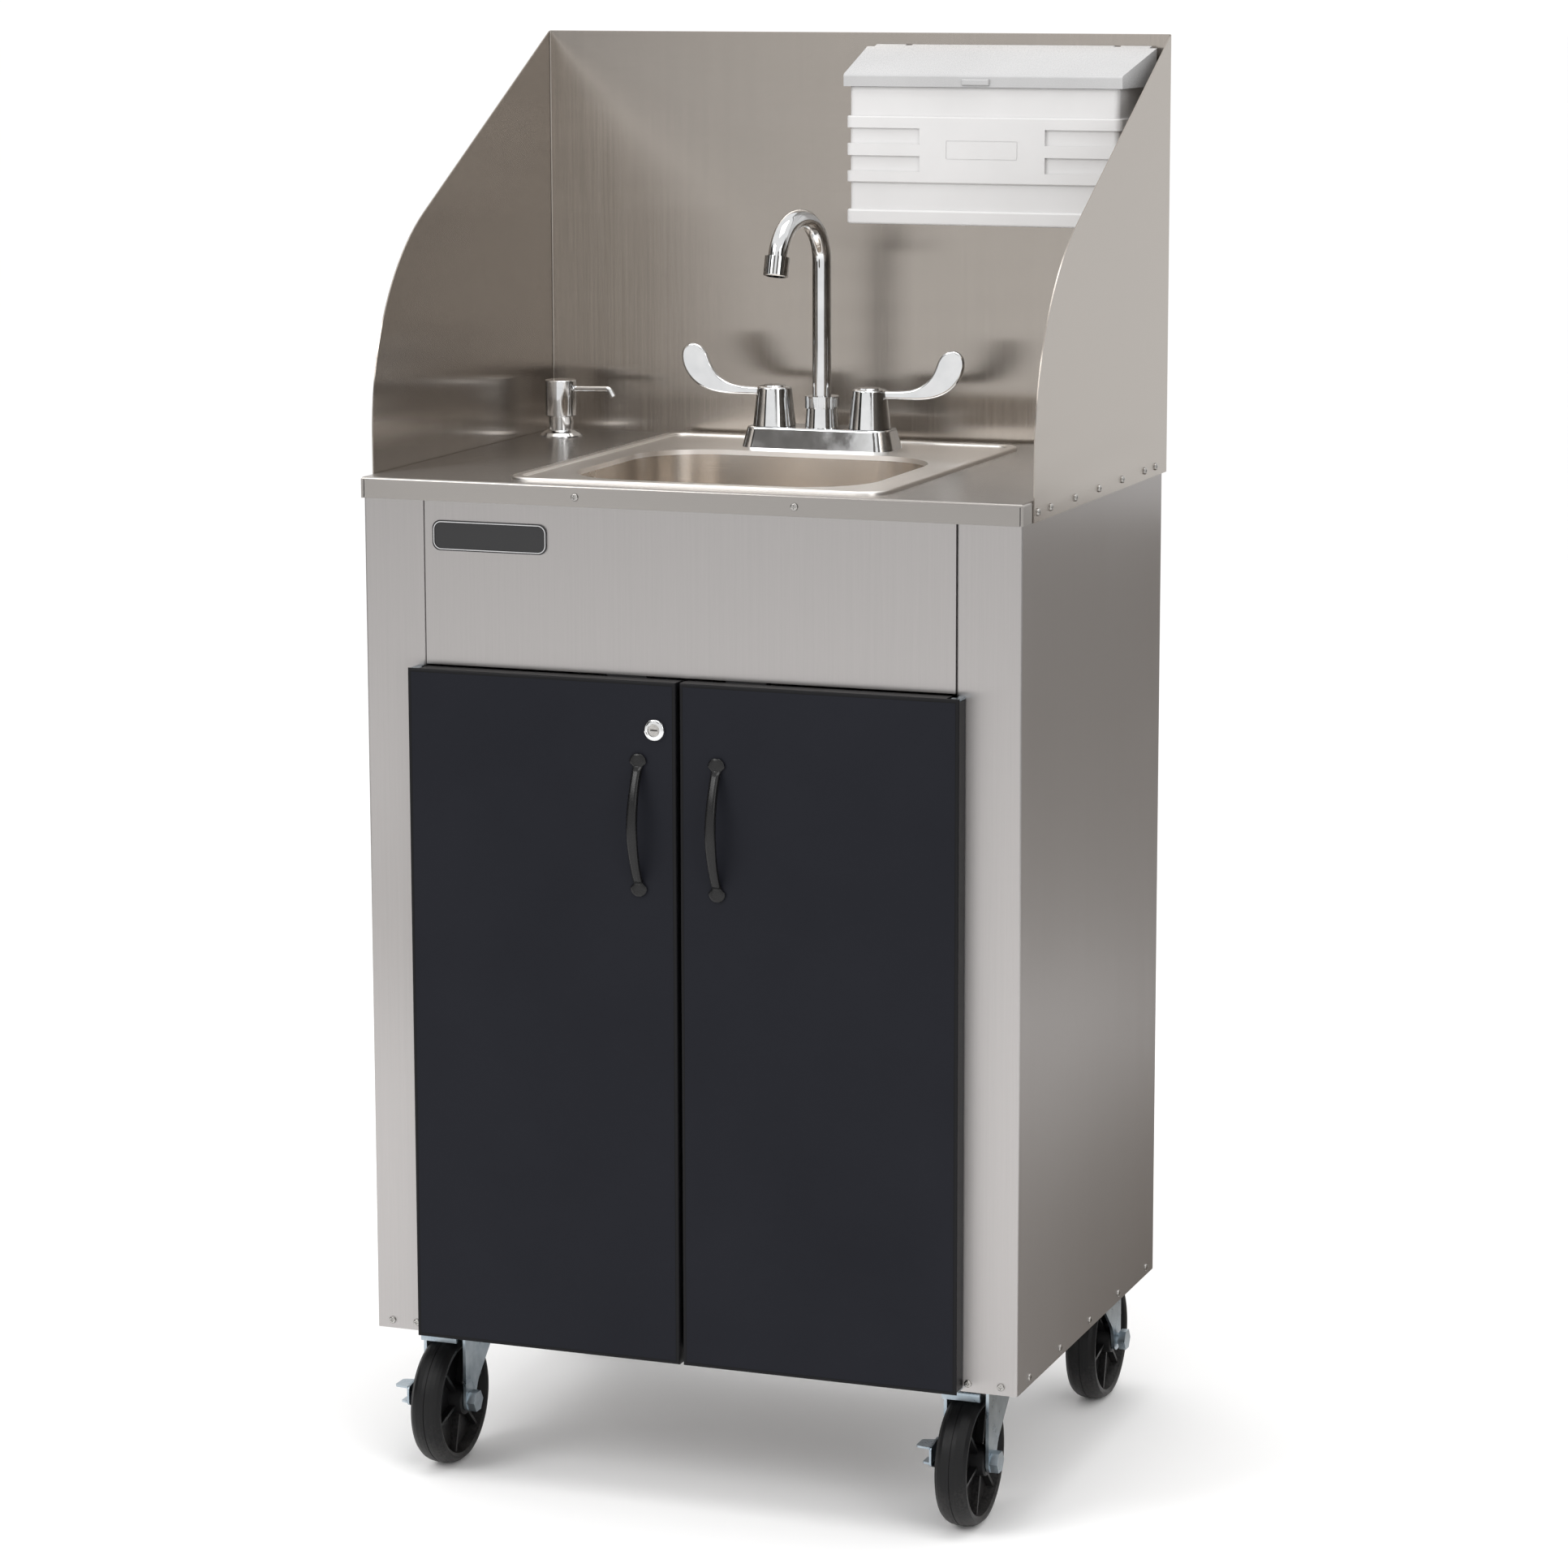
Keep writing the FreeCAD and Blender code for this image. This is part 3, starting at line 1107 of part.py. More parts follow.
def towel_lid():
    """Sloping lid with a deep front lip and a latch tab, hinged along the back of the case."""
    low = DISPENSER_RIM + 0.4
    front = DISPENSER_FRONT - 1.5
    back = LID_AXIS[0]
    hinge_z = LID_AXIS[1]
    outline = [
        (front, low), (front, low + 12, 3), (back, hinge_z + 4, 3.0), (back + 3.6, hinge_z, 2.5),
        (back, hinge_z - 5), (back - 1, low),
    ]
    left = DISPENSER_LEFT - 1.5
    right = DISPENSER_RIGHT + 1.5
    solid = plate("x", outline, left, right)
    inner = [
        (front + WALL, low - 1), (front + WALL, low + 10), (back - 8, hinge_z - 1.5), (back - 8, low - 1),
    ]
    solid = solid.cut(plate("x", inner, left + WALL, right - WALL))
    rear_gap = box((left - 1, right + 1), (back - 8, back + 6), (low - 1, hinge_z - 5.5))
    solid = solid.cut(rear_gap)
    flares = []
    for side, edge in ((-1, left), (1, right)):
        tip = edge + side * 7.5
        flare = plate("z", [(edge, front + 2), (edge, back - 9), (tip, back - 9)], low, low + 60)
        flares.append(flare.common(plate("x", outline, left - 20, right + 20)))
    tab_middle = (left + right) / 2 - 6
    tab = box((tab_middle - 14, tab_middle + 14), (front - 2.6, front + 1), (low + 2, low + 8))
    tab = soften(tab, 1.2, lambda p, e: p.y < front - 2.5)
    lid = fuse([solid, tab] + flares)
    hinge_cuts = []
    for start in LID_LUGS:
        hinge_cuts.append(box((start - 0.5, start + 6.5), (back - 5, back + 6), (hinge_z - 8, hinge_z + 8)))
        hinge_cuts.append(rod("x", LID_AXIS, LID_PIN + FIT, start - 8.5, start + 14.5))
    return cut_all(lid, hinge_cuts)


# ---------------------------------------------------------------- casters
SWIVEL_RACE_BOTTOM = 146.5
FORK_TOP = 140.5
FORK_SHEET = 3.0
LEG_INNER = WHEEL_WIDTH / 2 + 3.5
LEG_OUTER = LEG_INNER + FORK_SHEET
HUB_HALF = LEG_INNER - 0.8
KING_PIN = 6.0
PLATE_HOLES = (30.0, 25.0)
WEB_HALF = 5.0
PARTING_HALF = 0.4
WHEEL_RIBS = 6


def caster_places():
    """Each caster as (name, x, y, direction of its trail along y)."""
    return [
        ("front_left", -CASTER_X, CASTER_FRONT_Y, -1),
        ("front_right", CASTER_X, CASTER_FRONT_Y, -1),
        ("back_left", -CASTER_X, CASTER_BACK_Y, 1),
        ("back_right", CASTER_X, CASTER_BACK_Y, 1),
    ]


def caster_bolt_places():
    """Centre of every caster mounting bolt."""
    spots = []
    for _, x, y, _ in caster_places():
        for a in (-1, 1):
            for b in (-1, 1):
                spots.append((x + a * PLATE_HOLES[0], y + b * PLATE_HOLES[1]))
    return spots


def caster_plates():
    """Top plates with their fixed ball races and riveted king pins."""
    plates = []
    for _, x, y, _ in caster_places():
        top = plate("z", rectangle((x - 38, x + 38), (y - 33, y + 33), 6), PAN_UNDERSIDE - 3, PAN_UNDERSIDE)
        race = revolve((x, y), [
            (0, SWIVEL_RACE_BOTTOM), (20, SWIVEL_RACE_BOTTOM), (25, SWIVEL_RACE_BOTTOM + 2.5),
            (25, PAN_UNDERSIDE - 3), (0, PAN_UNDERSIDE - 3),
        ])
        pin = rod("z", (x, y), KING_PIN, FORK_TOP - FORK_SHEET - 1, SWIVEL_RACE_BOTTOM + 1)
        head = rod("z", (x, y), 9.5, FORK_TOP - FORK_SHEET - 3.3, FORK_TOP - FORK_SHEET - 0.4)
        solid = fuse([top, race, pin, head])
        holes = []
        for a in (-1, 1):
            for b in (-1, 1):
                spot = (x + a * PLATE_HOLES[0], y + b * PLATE_HOLES[1])
                holes.append(rod("z", spot, 4.2, 140, 170))
        plates.append(cut_all(solid, holes))
    return Part.makeCompound(plates)


def caster_bolts():
    """Bolts through the base pan and the caster plates, with their nuts."""
    bolts = []
    for spot in caster_bolt_places():
        head = hexagon("z", spot, 13, PAN_UNDERSIDE - 8.5, PAN_UNDERSIDE - 3)
        shank = rod("z", spot, 4.0, PAN_UNDERSIDE - 4, PAN_TOP + 9)
        nut = hexagon("z", spot, 13, PAN_TOP, PAN_TOP + 6.5)
        bolts.append(fuse([head, shank, nut]))
    return bolts


def fork_leg_outline(axle):
    """Side view of a fork leg, for a wheel that stands forwards of the swivel."""
    front = axle - 11
    rear = axle + CASTER_TRAIL + 27
    return [
        (front, FORK_TOP, 2), (front, WHEEL_RADIUS - 10.9, 10.8), (axle + 11, WHEEL_RADIUS - 10.9, 10.5),
        (axle + 16, WHEEL_RADIUS + 14, 30), (rear - 4, FORK_TOP - 22, 30), (rear, FORK_TOP, 2),
    ]


def front_fork():
    """Swivel fork drawn with its swivel axis at the origin: pressed top, two legs and a front lip."""
    axle = -CASTER_TRAIL
    front = axle - 11
    rear = axle + CASTER_TRAIL + 27
    top = box((-LEG_OUTER, LEG_OUTER), (front, rear), (FORK_TOP - FORK_SHEET, FORK_TOP))
    legs = []
    for low in (-LEG_OUTER, LEG_INNER):
        legs.append(plate("x", fork_leg_outline(axle), low, low + FORK_SHEET))
    lip_outline = [
        (front, FORK_TOP), (front - 4, FORK_TOP - 1.5, 3.4), (front - 7, FORK_TOP - 8, 5),
        (front - 6, FORK_TOP - 15), (front - 3.2, FORK_TOP - 14.5), (front - 4, FORK_TOP - 8, 3),
        (front - 2, FORK_TOP - 4.2, 1.5),
        (front, FORK_TOP - 3),
    ]
    lip = plate("x", lip_outline, -LEG_OUTER, LEG_INNER - 4)
    cup_top = SWIVEL_RACE_BOTTOM - 0.4
    cup = revolve((0, 0), [(15, FORK_TOP), (28, FORK_TOP), (28, FORK_TOP + 3), (26, cup_top), (15, cup_top)])
    bores = [rod("z", (0, 0), KING_PIN + FIT, 130, 150)]
    bores.append(rod("x", (axle, WHEEL_RADIUS), AXLE_RADIUS, -40, 40))
    return cut_all(fuse([top, lip, cup] + legs), bores)


def wheel():
    """Moulded wheel drawn on an axle along x at the origin: crowned tread, deep webs, ribs and hub."""
    half = WHEEL_WIDTH / 2
    r = WHEEL_RADIUS
    side = [
        (50, WEB_HALF), (53, half - 1.5), (56.0, half - 0.4), (58.5, half - 0.4), (r - 2.2, half - 3.6),
        (r - 0.8, half - 7.0), (r, half - 12.0), (r, PARTING_HALF), (r - 0.6, PARTING_HALF),
    ]
    hub = [(AXLE_RADIUS + FIT, HUB_HALF), (13.0, HUB_HALF), (14.5, HUB_HALF - 1.5), (16, WEB_HALF)]
    near = hub + side
    profile = near + [(radius, -x) for radius, x in near[::-1]]
    points = [Vector(x, radius, 0) for radius, x in profile]
    face = Part.Face(Part.makePolygon(points + points[:1]))
    body = face.revolve(Vector(0, 0, 0), Vector(1, 0, 0), 360)
    ribs = []
    for i in range(WHEEL_RIBS):
        rib = box((4 - half, half - 4), (13, 52), (-1.5, 1.5))
        rib.rotate(Vector(0, 0, 0), Vector(1, 0, 0), 360 * i / WHEEL_RIBS + 15)
        ribs.append(rib)
    return fuse([body] + ribs)


def axle_set():
    """Axle bolt with its hexagon head and nut, along x at the origin."""
    reach = LEG_OUTER + 3.4
    return fuse([
        rod("x", (0, 0), AXLE_RADIUS, -reach - 3, reach + 3),
        hexagon("x", (0, 0), 19, -reach - 7, -reach),
        hexagon("x", (0, 0), 19, LEG_OUTER + 0.4, LEG_OUTER + 8.4),
        rod("x", (0, 0), 10.5, LEG_OUTER, LEG_OUTER + 0.4),
    ])


def brake_pedal():
    """Side-lock lever on the axle: a plate that runs forwards to two foot tabs turned outwards."""
    low = -LEG_OUTER - 2.7
    high = -LEG_OUTER - 0.6
    outline = [
        (12, 0, 11), (4, -12, 8), (-14, -8, 6), (-46, 4, 4), (-46, 22, 4), (-22, 26, 6), (6, 13, 8),
    ]
    web = plate("x", outline, low, high)
    root = low + 0.5
    upper = plate("z", [(low - 14, -44, 4), (root, -46), (root, -20), (low - 14, -24, 4)], 20.5, 22.5)
    lower = plate("z", [(low - 7, -44, 2), (root, -46), (root, -28), (low - 7, -30, 2)], 5.5, 7.5)
    bore = rod("x", (0, 0), AXLE_RADIUS + FIT, -60, 60)
    return fuse([web, upper, lower]).cut(bore)


def save_casters():
    """Write the swivelling nodes of all four casters."""
    fork = front_fork()
    tread = wheel()
    axle = axle_set()
    pedal = brake_pedal()
    for name, x, y, trail in caster_places():
        at_swivel = Vector(x, y, 0)
        at_axle = Vector(x, y + trail * CASTER_TRAIL, WHEEL_RADIUS)
        facing = 0 if trail < 0 else 180
        placed_fork = turned(fork, Vector(0, 0, 0), Vector(0, 0, 1), facing)
        placed_fork.translate(at_swivel)
        save(name + "_fork", placed_fork)
        placed_axle = turned(axle, Vector(0, 0, 0), Vector(0, 0, 1), facing)
        placed_axle.translate(at_axle)
        save(name + "_axle", placed_axle)
        placed_wheel = tread.copy()
        placed_wheel.translate(at_axle)
        save(name + "_wheel", placed_wheel)
        if trail < 0:
            placed_pedal = pedal.copy()
            placed_pedal.translate(at_axle)
            save(name + "_brake", placed_pedal)


# ---------------------------------------------------------------- build
def main():
    os.makedirs("parts", exist_ok=True)

    side = right_side_panel()
    save("right_side_panel", drilled(side))
    save("left_side_panel", drilled(mirrored(side)))
    save("back_panel", back_panel())
    save("base_pan", drilled(base_pan()))
    save("front_apron", drilled(front_apron()))
    save("countertop", drilled(countertop()))
    save("splash_guard", drilled(splash_guard()))
    save("nameplate", nameplate())
    save("magnetic_catches", magnetic_catches())
    save("door_hinge_brackets", door_hinge_brackets())

    screw = pan_head_screw(6.0)
    screws = [aimed(screw, seat, way) for seat, way in screw_seats()]
    save("fasteners", Part.makeCompound(screws + caster_bolts()))

    door = right_door([])
    lock_hole = rod("y", (-LOCK_X, LOCK_Z), 8.9, DOOR_FRONT_Y - 1, 0)
    save("right_door", door)
    save("left_door", mirrored(right_door([lock_hole])))
    handle = right_door_handle()
    save("right_door_handle", handle)
    save("left_door_handle", mirrored(handle))
    save("lock_barrel", lock_barrel())
    save("lock_plug", lock_plug())
    save("lock_cam", lock_cam())

    save("sink_basin", sink_basin())
    save("drain_strainer", drain_strainer())
    save("drain_tailpiece", drain_tailpiece())
    save("waste_pipe", waste_pipe())

    tank = right_tank()
    save("waste_water_tank", tank)
    save("fresh_water_tank", mirrored(tank))
    save("tank_caps", tank_caps([(1, WASTE_PIPE_RADIUS), (-1, LINE_RADIUS)]))
    save("water_pump", water_pump())
    save("water_heater", water_heater())
    save("water_lines", water_lines())
    save("power_inlet", power_inlet())
    save("switch_rocker", switch_rocker())

    save("faucet_base", faucet_base())
    save("valve_bodies", valve_bodies())
    blade = right_faucet_handle()
    save("right_faucet_handle", blade)
    save("left_faucet_handle", mirrored(blade))
    save("spout_nut", spout_nut())
    save("spout", spout())
    save("aerator", aerator())

    save("soap_collar", soap_collar())
    save("soap_bottle", soap_bottle())
    save("soap_stem", soap_stem())
    save("soap_pump_head", soap_pump_head())

    save("towel_dispenser_body", towel_dispenser_body())
    save("paper_towels", paper_towels())
    save("towel_lid", towel_lid())

    save("caster_plates", caster_plates())
    save_casters()


main()
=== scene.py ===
"""Looks for the portable handwash sink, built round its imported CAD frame."""
import math

import bmesh
import bpy
from mathutils import Matrix, Vector


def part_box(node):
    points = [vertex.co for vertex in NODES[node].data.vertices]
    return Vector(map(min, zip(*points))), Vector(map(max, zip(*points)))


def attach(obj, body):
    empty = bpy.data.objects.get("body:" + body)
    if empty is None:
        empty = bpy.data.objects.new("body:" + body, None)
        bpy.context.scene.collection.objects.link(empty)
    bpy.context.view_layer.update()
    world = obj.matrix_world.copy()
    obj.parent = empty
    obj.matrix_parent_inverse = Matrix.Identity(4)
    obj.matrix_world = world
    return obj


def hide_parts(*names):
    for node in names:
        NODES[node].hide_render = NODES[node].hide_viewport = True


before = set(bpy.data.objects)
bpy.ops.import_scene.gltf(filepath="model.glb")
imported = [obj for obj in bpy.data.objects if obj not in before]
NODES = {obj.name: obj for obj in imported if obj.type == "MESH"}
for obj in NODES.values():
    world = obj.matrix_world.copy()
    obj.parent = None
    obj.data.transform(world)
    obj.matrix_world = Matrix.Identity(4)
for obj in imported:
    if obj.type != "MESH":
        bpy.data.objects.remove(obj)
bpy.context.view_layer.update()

MM = 0.001


# ---------------------------------------------------------------- camera, floor and light
CAMERA_PLACE = Vector((1.611, -4.264, 1.503))
CAMERA_YAW = 20.59
CAMERA_PITCH = 9.66
CAMERA_ROLL = 0.13
CAMERA_LENS = 107.6
CAMERA_SHIFT = -0.04


def add_camera():
    data = bpy.data.cameras.new("camera")
    data.lens = CAMERA_LENS
    data.sensor_width = 36.0
    data.shift_y = CAMERA_SHIFT
    data.clip_end = 200.0
    camera = bpy.data.objects.new("camera", data)
    bpy.context.scene.collection.objects.link(camera)
    yaw = Matrix.Rotation(math.radians(CAMERA_YAW), 4, "Z")
    tilt = Matrix.Rotation(math.radians(90 - CAMERA_PITCH), 4, "X")
    roll = Matrix.Rotation(math.radians(-CAMERA_ROLL), 4, "Z")
    camera.matrix_world = Matrix.Translation(CAMERA_PLACE) @ yaw @ tilt @ roll
    bpy.context.scene.camera = camera


BROWN = (0.31, 0.28, 0.25)
DIM = (0.20, 0.19, 0.18)
DARK = (0.035, 0.033, 0.03)
LIGHT_TARGET = (0, 0, 0.8)
# Name, place, width and height, and power in watts.
LIGHTS = (
    ("key_light", (-2.4, -3.4, 3.4), (1.8, 1.8), 60),
    ("fill_light", (3.4, -2.8, 2.4), (1.6, 2.2), 22),
    ("top_light", (0.3, -0.6, 4.2), (2.0, 2.0), 38),
)
# Name, place, the point that it faces, width and height, and shade.
FLAGS = (
    ("side_flag", (1.95, 1.70, 0.37), (1.95, 0, 0.37), (3.2, 0.72), BROWN),
    ("floor_flag", (0.90, 0.75, 0.012), (0.90, 0.75, 1.0), (1.08, 1.86), BROWN),
    ("left_flag", (-3.0, -1.0, 1.3), (0, -1.0, 1.3), (2.0, 3.0), DARK),
    ("right_flag", (3.2, -1.0, 1.4), (0, -1.0, 1.4), (2.2, 2.8), DARK),
    ("strip_flag", (-1.7, -1.9, 1.55), (0, 0.13, 1.2), (0.75, 1.5), DARK),
    ("low_flag", (-1.45, -1.90, 0.12), (0, 0, 0.6), (0.6, 0.26), BROWN),
    ("front_left_flag", (-2.7, -5.2, 2.6), (-2.7, 0, 2.6), (1.5, 1.2), DIM),
    ("front_flag", (-0.5, -5.4, 2.6), (-0.5, 0, 2.6), (1.3, 1.1), DIM),
    ("front_right_flag", (2.4, -4.6, 2.6), (2.4, 0, 2.6), (1.4, 1.9), DIM),
)
FLOOR_RADIUS = 60


def add_area_light(name, place, size, power):
    data = bpy.data.lights.new(name, "AREA")
    data.shape = "RECTANGLE"
    data.size = size[0]
    data.size_y = size[1]
    data.energy = power
    light = bpy.data.objects.new(name, data)
    bpy.context.scene.collection.objects.link(light)
    light.location = place
    light.rotation_euler = (Vector(LIGHT_TARGET) - Vector(place)).to_track_quat("-Z", "Y").to_euler()


def add_flag(name, place, target, size, shade):
    """A matt board that shows only in reflections, to give the metal something dark to mirror."""
    bpy.ops.mesh.primitive_plane_add(size=1.0, location=place)
    board = bpy.context.object
    board.name = name
    board.scale = (size[0], size[1], 1)
    board.rotation_euler = (Vector(target) - Vector(place)).to_track_quat("Z", "Y").to_euler()
    look = Look(name, {"Roughness": 0.9, "Specular IOR Level": 0.0, "Emission Strength": 1.0})
    look.shader.inputs["Base Color"].default_value = (0, 0, 0, 1)
    cloud = look.noise((1, 1, 1), 0.5)
    low = tuple(0.85 * value for value in shade)
    look.drive("Emission Color", look.ramp(cloud, 0.3, 0.7, (*low, 1), (*shade, 1)))
    board.data.materials.append(look.material)
    board.visible_camera = False
    board.visible_shadow = False
    board.visible_diffuse = False


def add_studio():
    bpy.context.scene.view_settings.view_transform = "Standard"
    world = bpy.data.worlds.new("studio")
    world.use_nodes = True
    bpy.context.scene.world = world
    background = world.node_tree.nodes["Background"]
    background.inputs["Color"].default_value = (1.0, 0.995, 0.99, 1)
    background.inputs["Strength"].default_value = 1.05
    for light in LIGHTS:
        add_area_light(*light)
    for flag in FLAGS:
        add_flag(*flag)
    bpy.ops.mesh.primitive_circle_add(vertices=96, radius=FLOOR_RADIUS, fill_type="NGON", location=(0, 0, 0))
    floor = bpy.context.object
    floor.name = "floor"
    floor.data.materials.append(floor_look())


# ---------------------------------------------------------------- materials
class Look:
    """One procedural material: its shader, and short ways to add the nodes that drive it."""

    def __init__(self, name, sockets):
        self.material = bpy.data.materials.new(name)
        self.material.use_nodes = True
        self.tree = self.material.node_tree
        self.shader = self.tree.nodes["Principled BSDF"]
        for socket, value in sockets.items():
            self.shader.inputs[socket].default_value = value

    def node(self, kind, **settings):
        made = self.tree.nodes.new(kind)
        for key, value in settings.items():
            setattr(made, key, value)
        return made

    def link(self, output, target):
        self.tree.links.new(output, target)

    def drive(self, socket, output):
        self.link(output, self.shader.inputs[socket])

    def place(self, stretch=(1, 1, 1)):
        """Position in the row frame, in metres, stretched."""
        source = self.node("ShaderNodeTexCoord").outputs["Object"]
        mapping = self.node("ShaderNodeMapping")
        mapping.inputs["Scale"].default_value = stretch
        self.link(source, mapping.inputs["Vector"])
        return mapping.outputs["Vector"]

    def noise(self, stretch, scale, detail=3.0, roughness=0.55):
        made = self.node("ShaderNodeTexNoise")
        made.inputs["Scale"].default_value = scale
        made.inputs["Detail"].default_value = detail
        made.inputs["Roughness"].default_value = roughness
        self.link(self.place(stretch), made.inputs["Vector"])
        return made.outputs["Fac"]

    def ramp(self, value, low, high, first, second):
        """A grey or colour that goes from first to second as value goes from low to high."""
        made = self.node("ShaderNodeValToRGB")
        points = made.color_ramp.elements
        points[0].position = low
        points[1].position = high
        points[0].color = first if hasattr(first, "__len__") else (first, first, first, 1)
        points[1].color = second if hasattr(second, "__len__") else (second, second, second, 1)
        self.link(value, made.inputs["Fac"])
        return made.outputs["Color"]

    def math(self, operation, first, second=None):
        made = self.node("ShaderNodeMath", operation=operation)
        for i, value in enumerate((first, second)):
            if value is None:
                continue
            if isinstance(value, (int, float)):
                made.inputs[i].default_value = value
            else:
                self.link(value, made.inputs[i])
        return made.outputs["Value"]

    def mix(self, share, first, second):
        made = self.node("ShaderNodeMix", data_type="RGBA")
        for socket, value in ((0, share), (6, first), (7, second)):
            if isinstance(value, (int, float, tuple)):
                made.inputs[socket].default_value = value
            else:
                self.link(value, made.inputs[socket])
        return made.outputs[2]

    def axis(self, index):
        """One coordinate of the position in the row frame, in metres."""
        split = self.node("ShaderNodeSeparateXYZ")
        self.link(self.place(), split.inputs[0])
        return split.outputs[index]

    def bump(self, height, strength, depth):
        made = self.node("ShaderNodeBump")
        made.inputs["Strength"].default_value = strength
        made.inputs["Distance"].default_value = depth
        self.link(height, made.inputs["Height"])
        self.drive("Normal", made.outputs["Normal"])
        return made

    def brush(self, grain, along=False):
        """Turn the blur of the reflections across the grain, or along it."""
        normal = self.node("ShaderNodeNewGeometry").outputs["Normal"]
        across = self.node("ShaderNodeVectorMath", operation="CROSS_PRODUCT")
        self.link(normal, across.inputs[0])
        across.inputs[1].default_value = grain
        turned = across.outputs["Vector"]
        if along:
            back = self.node("ShaderNodeVectorMath", operation="CROSS_PRODUCT")
            self.link(turned, back.inputs[0])
            self.link(normal, back.inputs[1])
            turned = back.outputs["Vector"]
        self.drive("Tangent", turned)


def grey(r, g, b):
    return (r, g, b, 1.0)


def floor_look():
    look = Look("floor", {"Roughness": 0.9, "Specular IOR Level": 0.1})
    cloud = look.noise((1, 1, 1), 0.6)
    look.drive("Base Color", look.ramp(cloud, 0.3, 0.7, grey(0.965, 0.965, 0.965), grey(0.98, 0.98, 0.98)))
    return look.material


# How dark the counter's flange is painted, as painted shade on the same steel.
FLANGE_PAINTED_SHADE = 0.72


def steel_look(name, tint, grain, rough, wave=0.0, streak=0.03, painted_shade_below=None):
    """Brushed sheet steel.

    grain is the direction of the brush lines, wave is a slight buckle in metres, streak is how far the tone
    strays from the tint, and below the height painted_shade_below the metal is painted darker, as painted
    shade.
    """
    look = Look(name, {"Metallic": 1.0, "Anisotropic": 0.92})
    fine = look.noise(tuple(22.0 if abs(g) > 0.5 else 1700.0 for g in grain), 1.0, 3.0, 0.6)
    long_lines = look.noise(tuple(3.0 if abs(g) > 0.5 else 420.0 for g in grain), 1.0, 3.0, 0.6)
    cloud = look.noise((1, 1, 1), 2.6, 2.0)
    tone = look.math("MULTIPLY", look.math("ADD", fine, long_lines), 0.4)
    tone = look.math("ADD", tone, look.math("MULTIPLY", cloud, 0.2))
    dark = grey(*(value * (1 - streak) for value in tint))
    light = grey(*(value * (1 + streak) for value in tint))
    colour = look.ramp(tone, 0.38, 0.62, dark, light)
    if painted_shade_below is not None:
        # Painted shade: below this height the colour becomes a darker copy of the tint.
        low = look.math("LESS_THAN", look.axis(2), painted_shade_below)
        colour = look.mix(low, colour, grey(*(value * FLANGE_PAINTED_SHADE for value in tint)))
    look.drive("Base Color", colour)
    look.drive("Roughness", look.ramp(tone, 0.35, 0.65, rough - 0.02, rough + 0.03))
    grained = look.bump(look.math("ADD", fine, long_lines), 0.03, 0.0001)
    if wave:
        buckle = look.node("ShaderNodeBump")
        buckle.inputs["Distance"].default_value = wave
        look.link(look.noise((1.1, 1.1, 9.0), 1.0, 2.0), buckle.inputs["Height"])
        look.link(buckle.outputs["Normal"], grained.inputs["Normal"])
    look.brush(grain)
    return look.material


RIM_DEPTH = 7.0 * MM


def satin_steel_look():
    """Drawn steel: a satin rim painted brighter as painted light, and a bowl painted darker as painted
    shade, with brush lines round its walls.
    """
    look = Look("basin_steel", {"Metallic": 1.0, "Anisotropic": 0.6})
    lines = look.noise((60, 60, 1500), 1.0, 4.0, 0.6)
    cloud = look.noise((1, 1, 1), 14.0, 3.0)
    rim = look.math("GREATER_THAN", look.axis(2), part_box("sink_basin")[1][2] - RIM_DEPTH)
    # Painted shade: the bowl below the rim is given a darker steel colour.
    bowl_painted_shade = look.ramp(lines, 0.3, 0.7, grey(0.72, 0.665, 0.605), grey(0.84, 0.785, 0.725))
    # Painted light: the rim on top is given a brighter steel colour.
    edge = look.ramp(cloud, 0.3, 0.7, grey(0.92, 0.89, 0.86), grey(0.95, 0.92, 0.89))
    look.drive("Base Color", look.mix(rim, bowl_painted_shade, edge))
    rough = look.math("ADD", 0.22, look.math("MULTIPLY", cloud, 0.08))
    look.drive("Roughness", look.math("ADD", rough, look.math("MULTIPLY", rim, 0.16)))
    look.bump(lines, 0.05, 0.0002)
    look.brush((0.03, 0.02, 1), along=True)
    return look.material


def chrome_look():
    look = Look("chrome", {"Metallic": 1.0})
    smudge = look.noise((1, 1, 1), 45.0, 3.0)
    ripple = look.noise((1, 1, 1), 120.0, 1.0)
    look.drive("Base Color", look.ramp(smudge, 0.3, 0.7, grey(0.66, 0.67, 0.68), grey(0.76, 0.765, 0.77)))
    look.drive("Roughness", look.ramp(smudge, 0.4, 0.75, 0.035, 0.10))
    look.bump(ripple, 0.02, 0.0003)
    return look.material


def zinc_look():
    look = Look("zinc_plate", {"Metallic": 1.0})
    blotch = look.noise((1, 1, 1), 55.0, 4.0)
    grain = look.noise((1, 1, 1), 900.0, 2.0)
    look.drive("Base Color", look.ramp(blotch, 0.3, 0.72, grey(0.27, 0.33, 0.38), grey(0.50, 0.56, 0.60)))
    look.drive("Roughness", look.ramp(blotch, 0.3, 0.7, 0.24, 0.40))
    look.bump(grain, 0.12, 0.0002)
    return look.material


def screw_look():
    look = Look("screw_steel", {"Metallic": 1.0})
    wear = look.noise((1, 1, 1), 300.0, 3.0)
    look.drive("Base Color", look.ramp(wear, 0.3, 0.7, grey(0.30, 0.29, 0.28), grey(0.50, 0.49, 0.47)))
    look.drive("Roughness", look.ramp(wear, 0.3, 0.7, 0.18, 0.32))
    look.bump(wear, 0.05, 0.0002)
    return look.material


def brass_look():
    look = Look("brass", {"Metallic": 1.0})
    blotch = look.noise((1, 1, 1), 60.0, 4.0)
    look.drive("Base Color", look.ramp(blotch, 0.3, 0.7, grey(0.50, 0.34, 0.13), grey(0.70, 0.52, 0.24)))
    look.drive("Roughness", look.ramp(blotch, 0.3, 0.7, 0.24, 0.42))
    return look.material


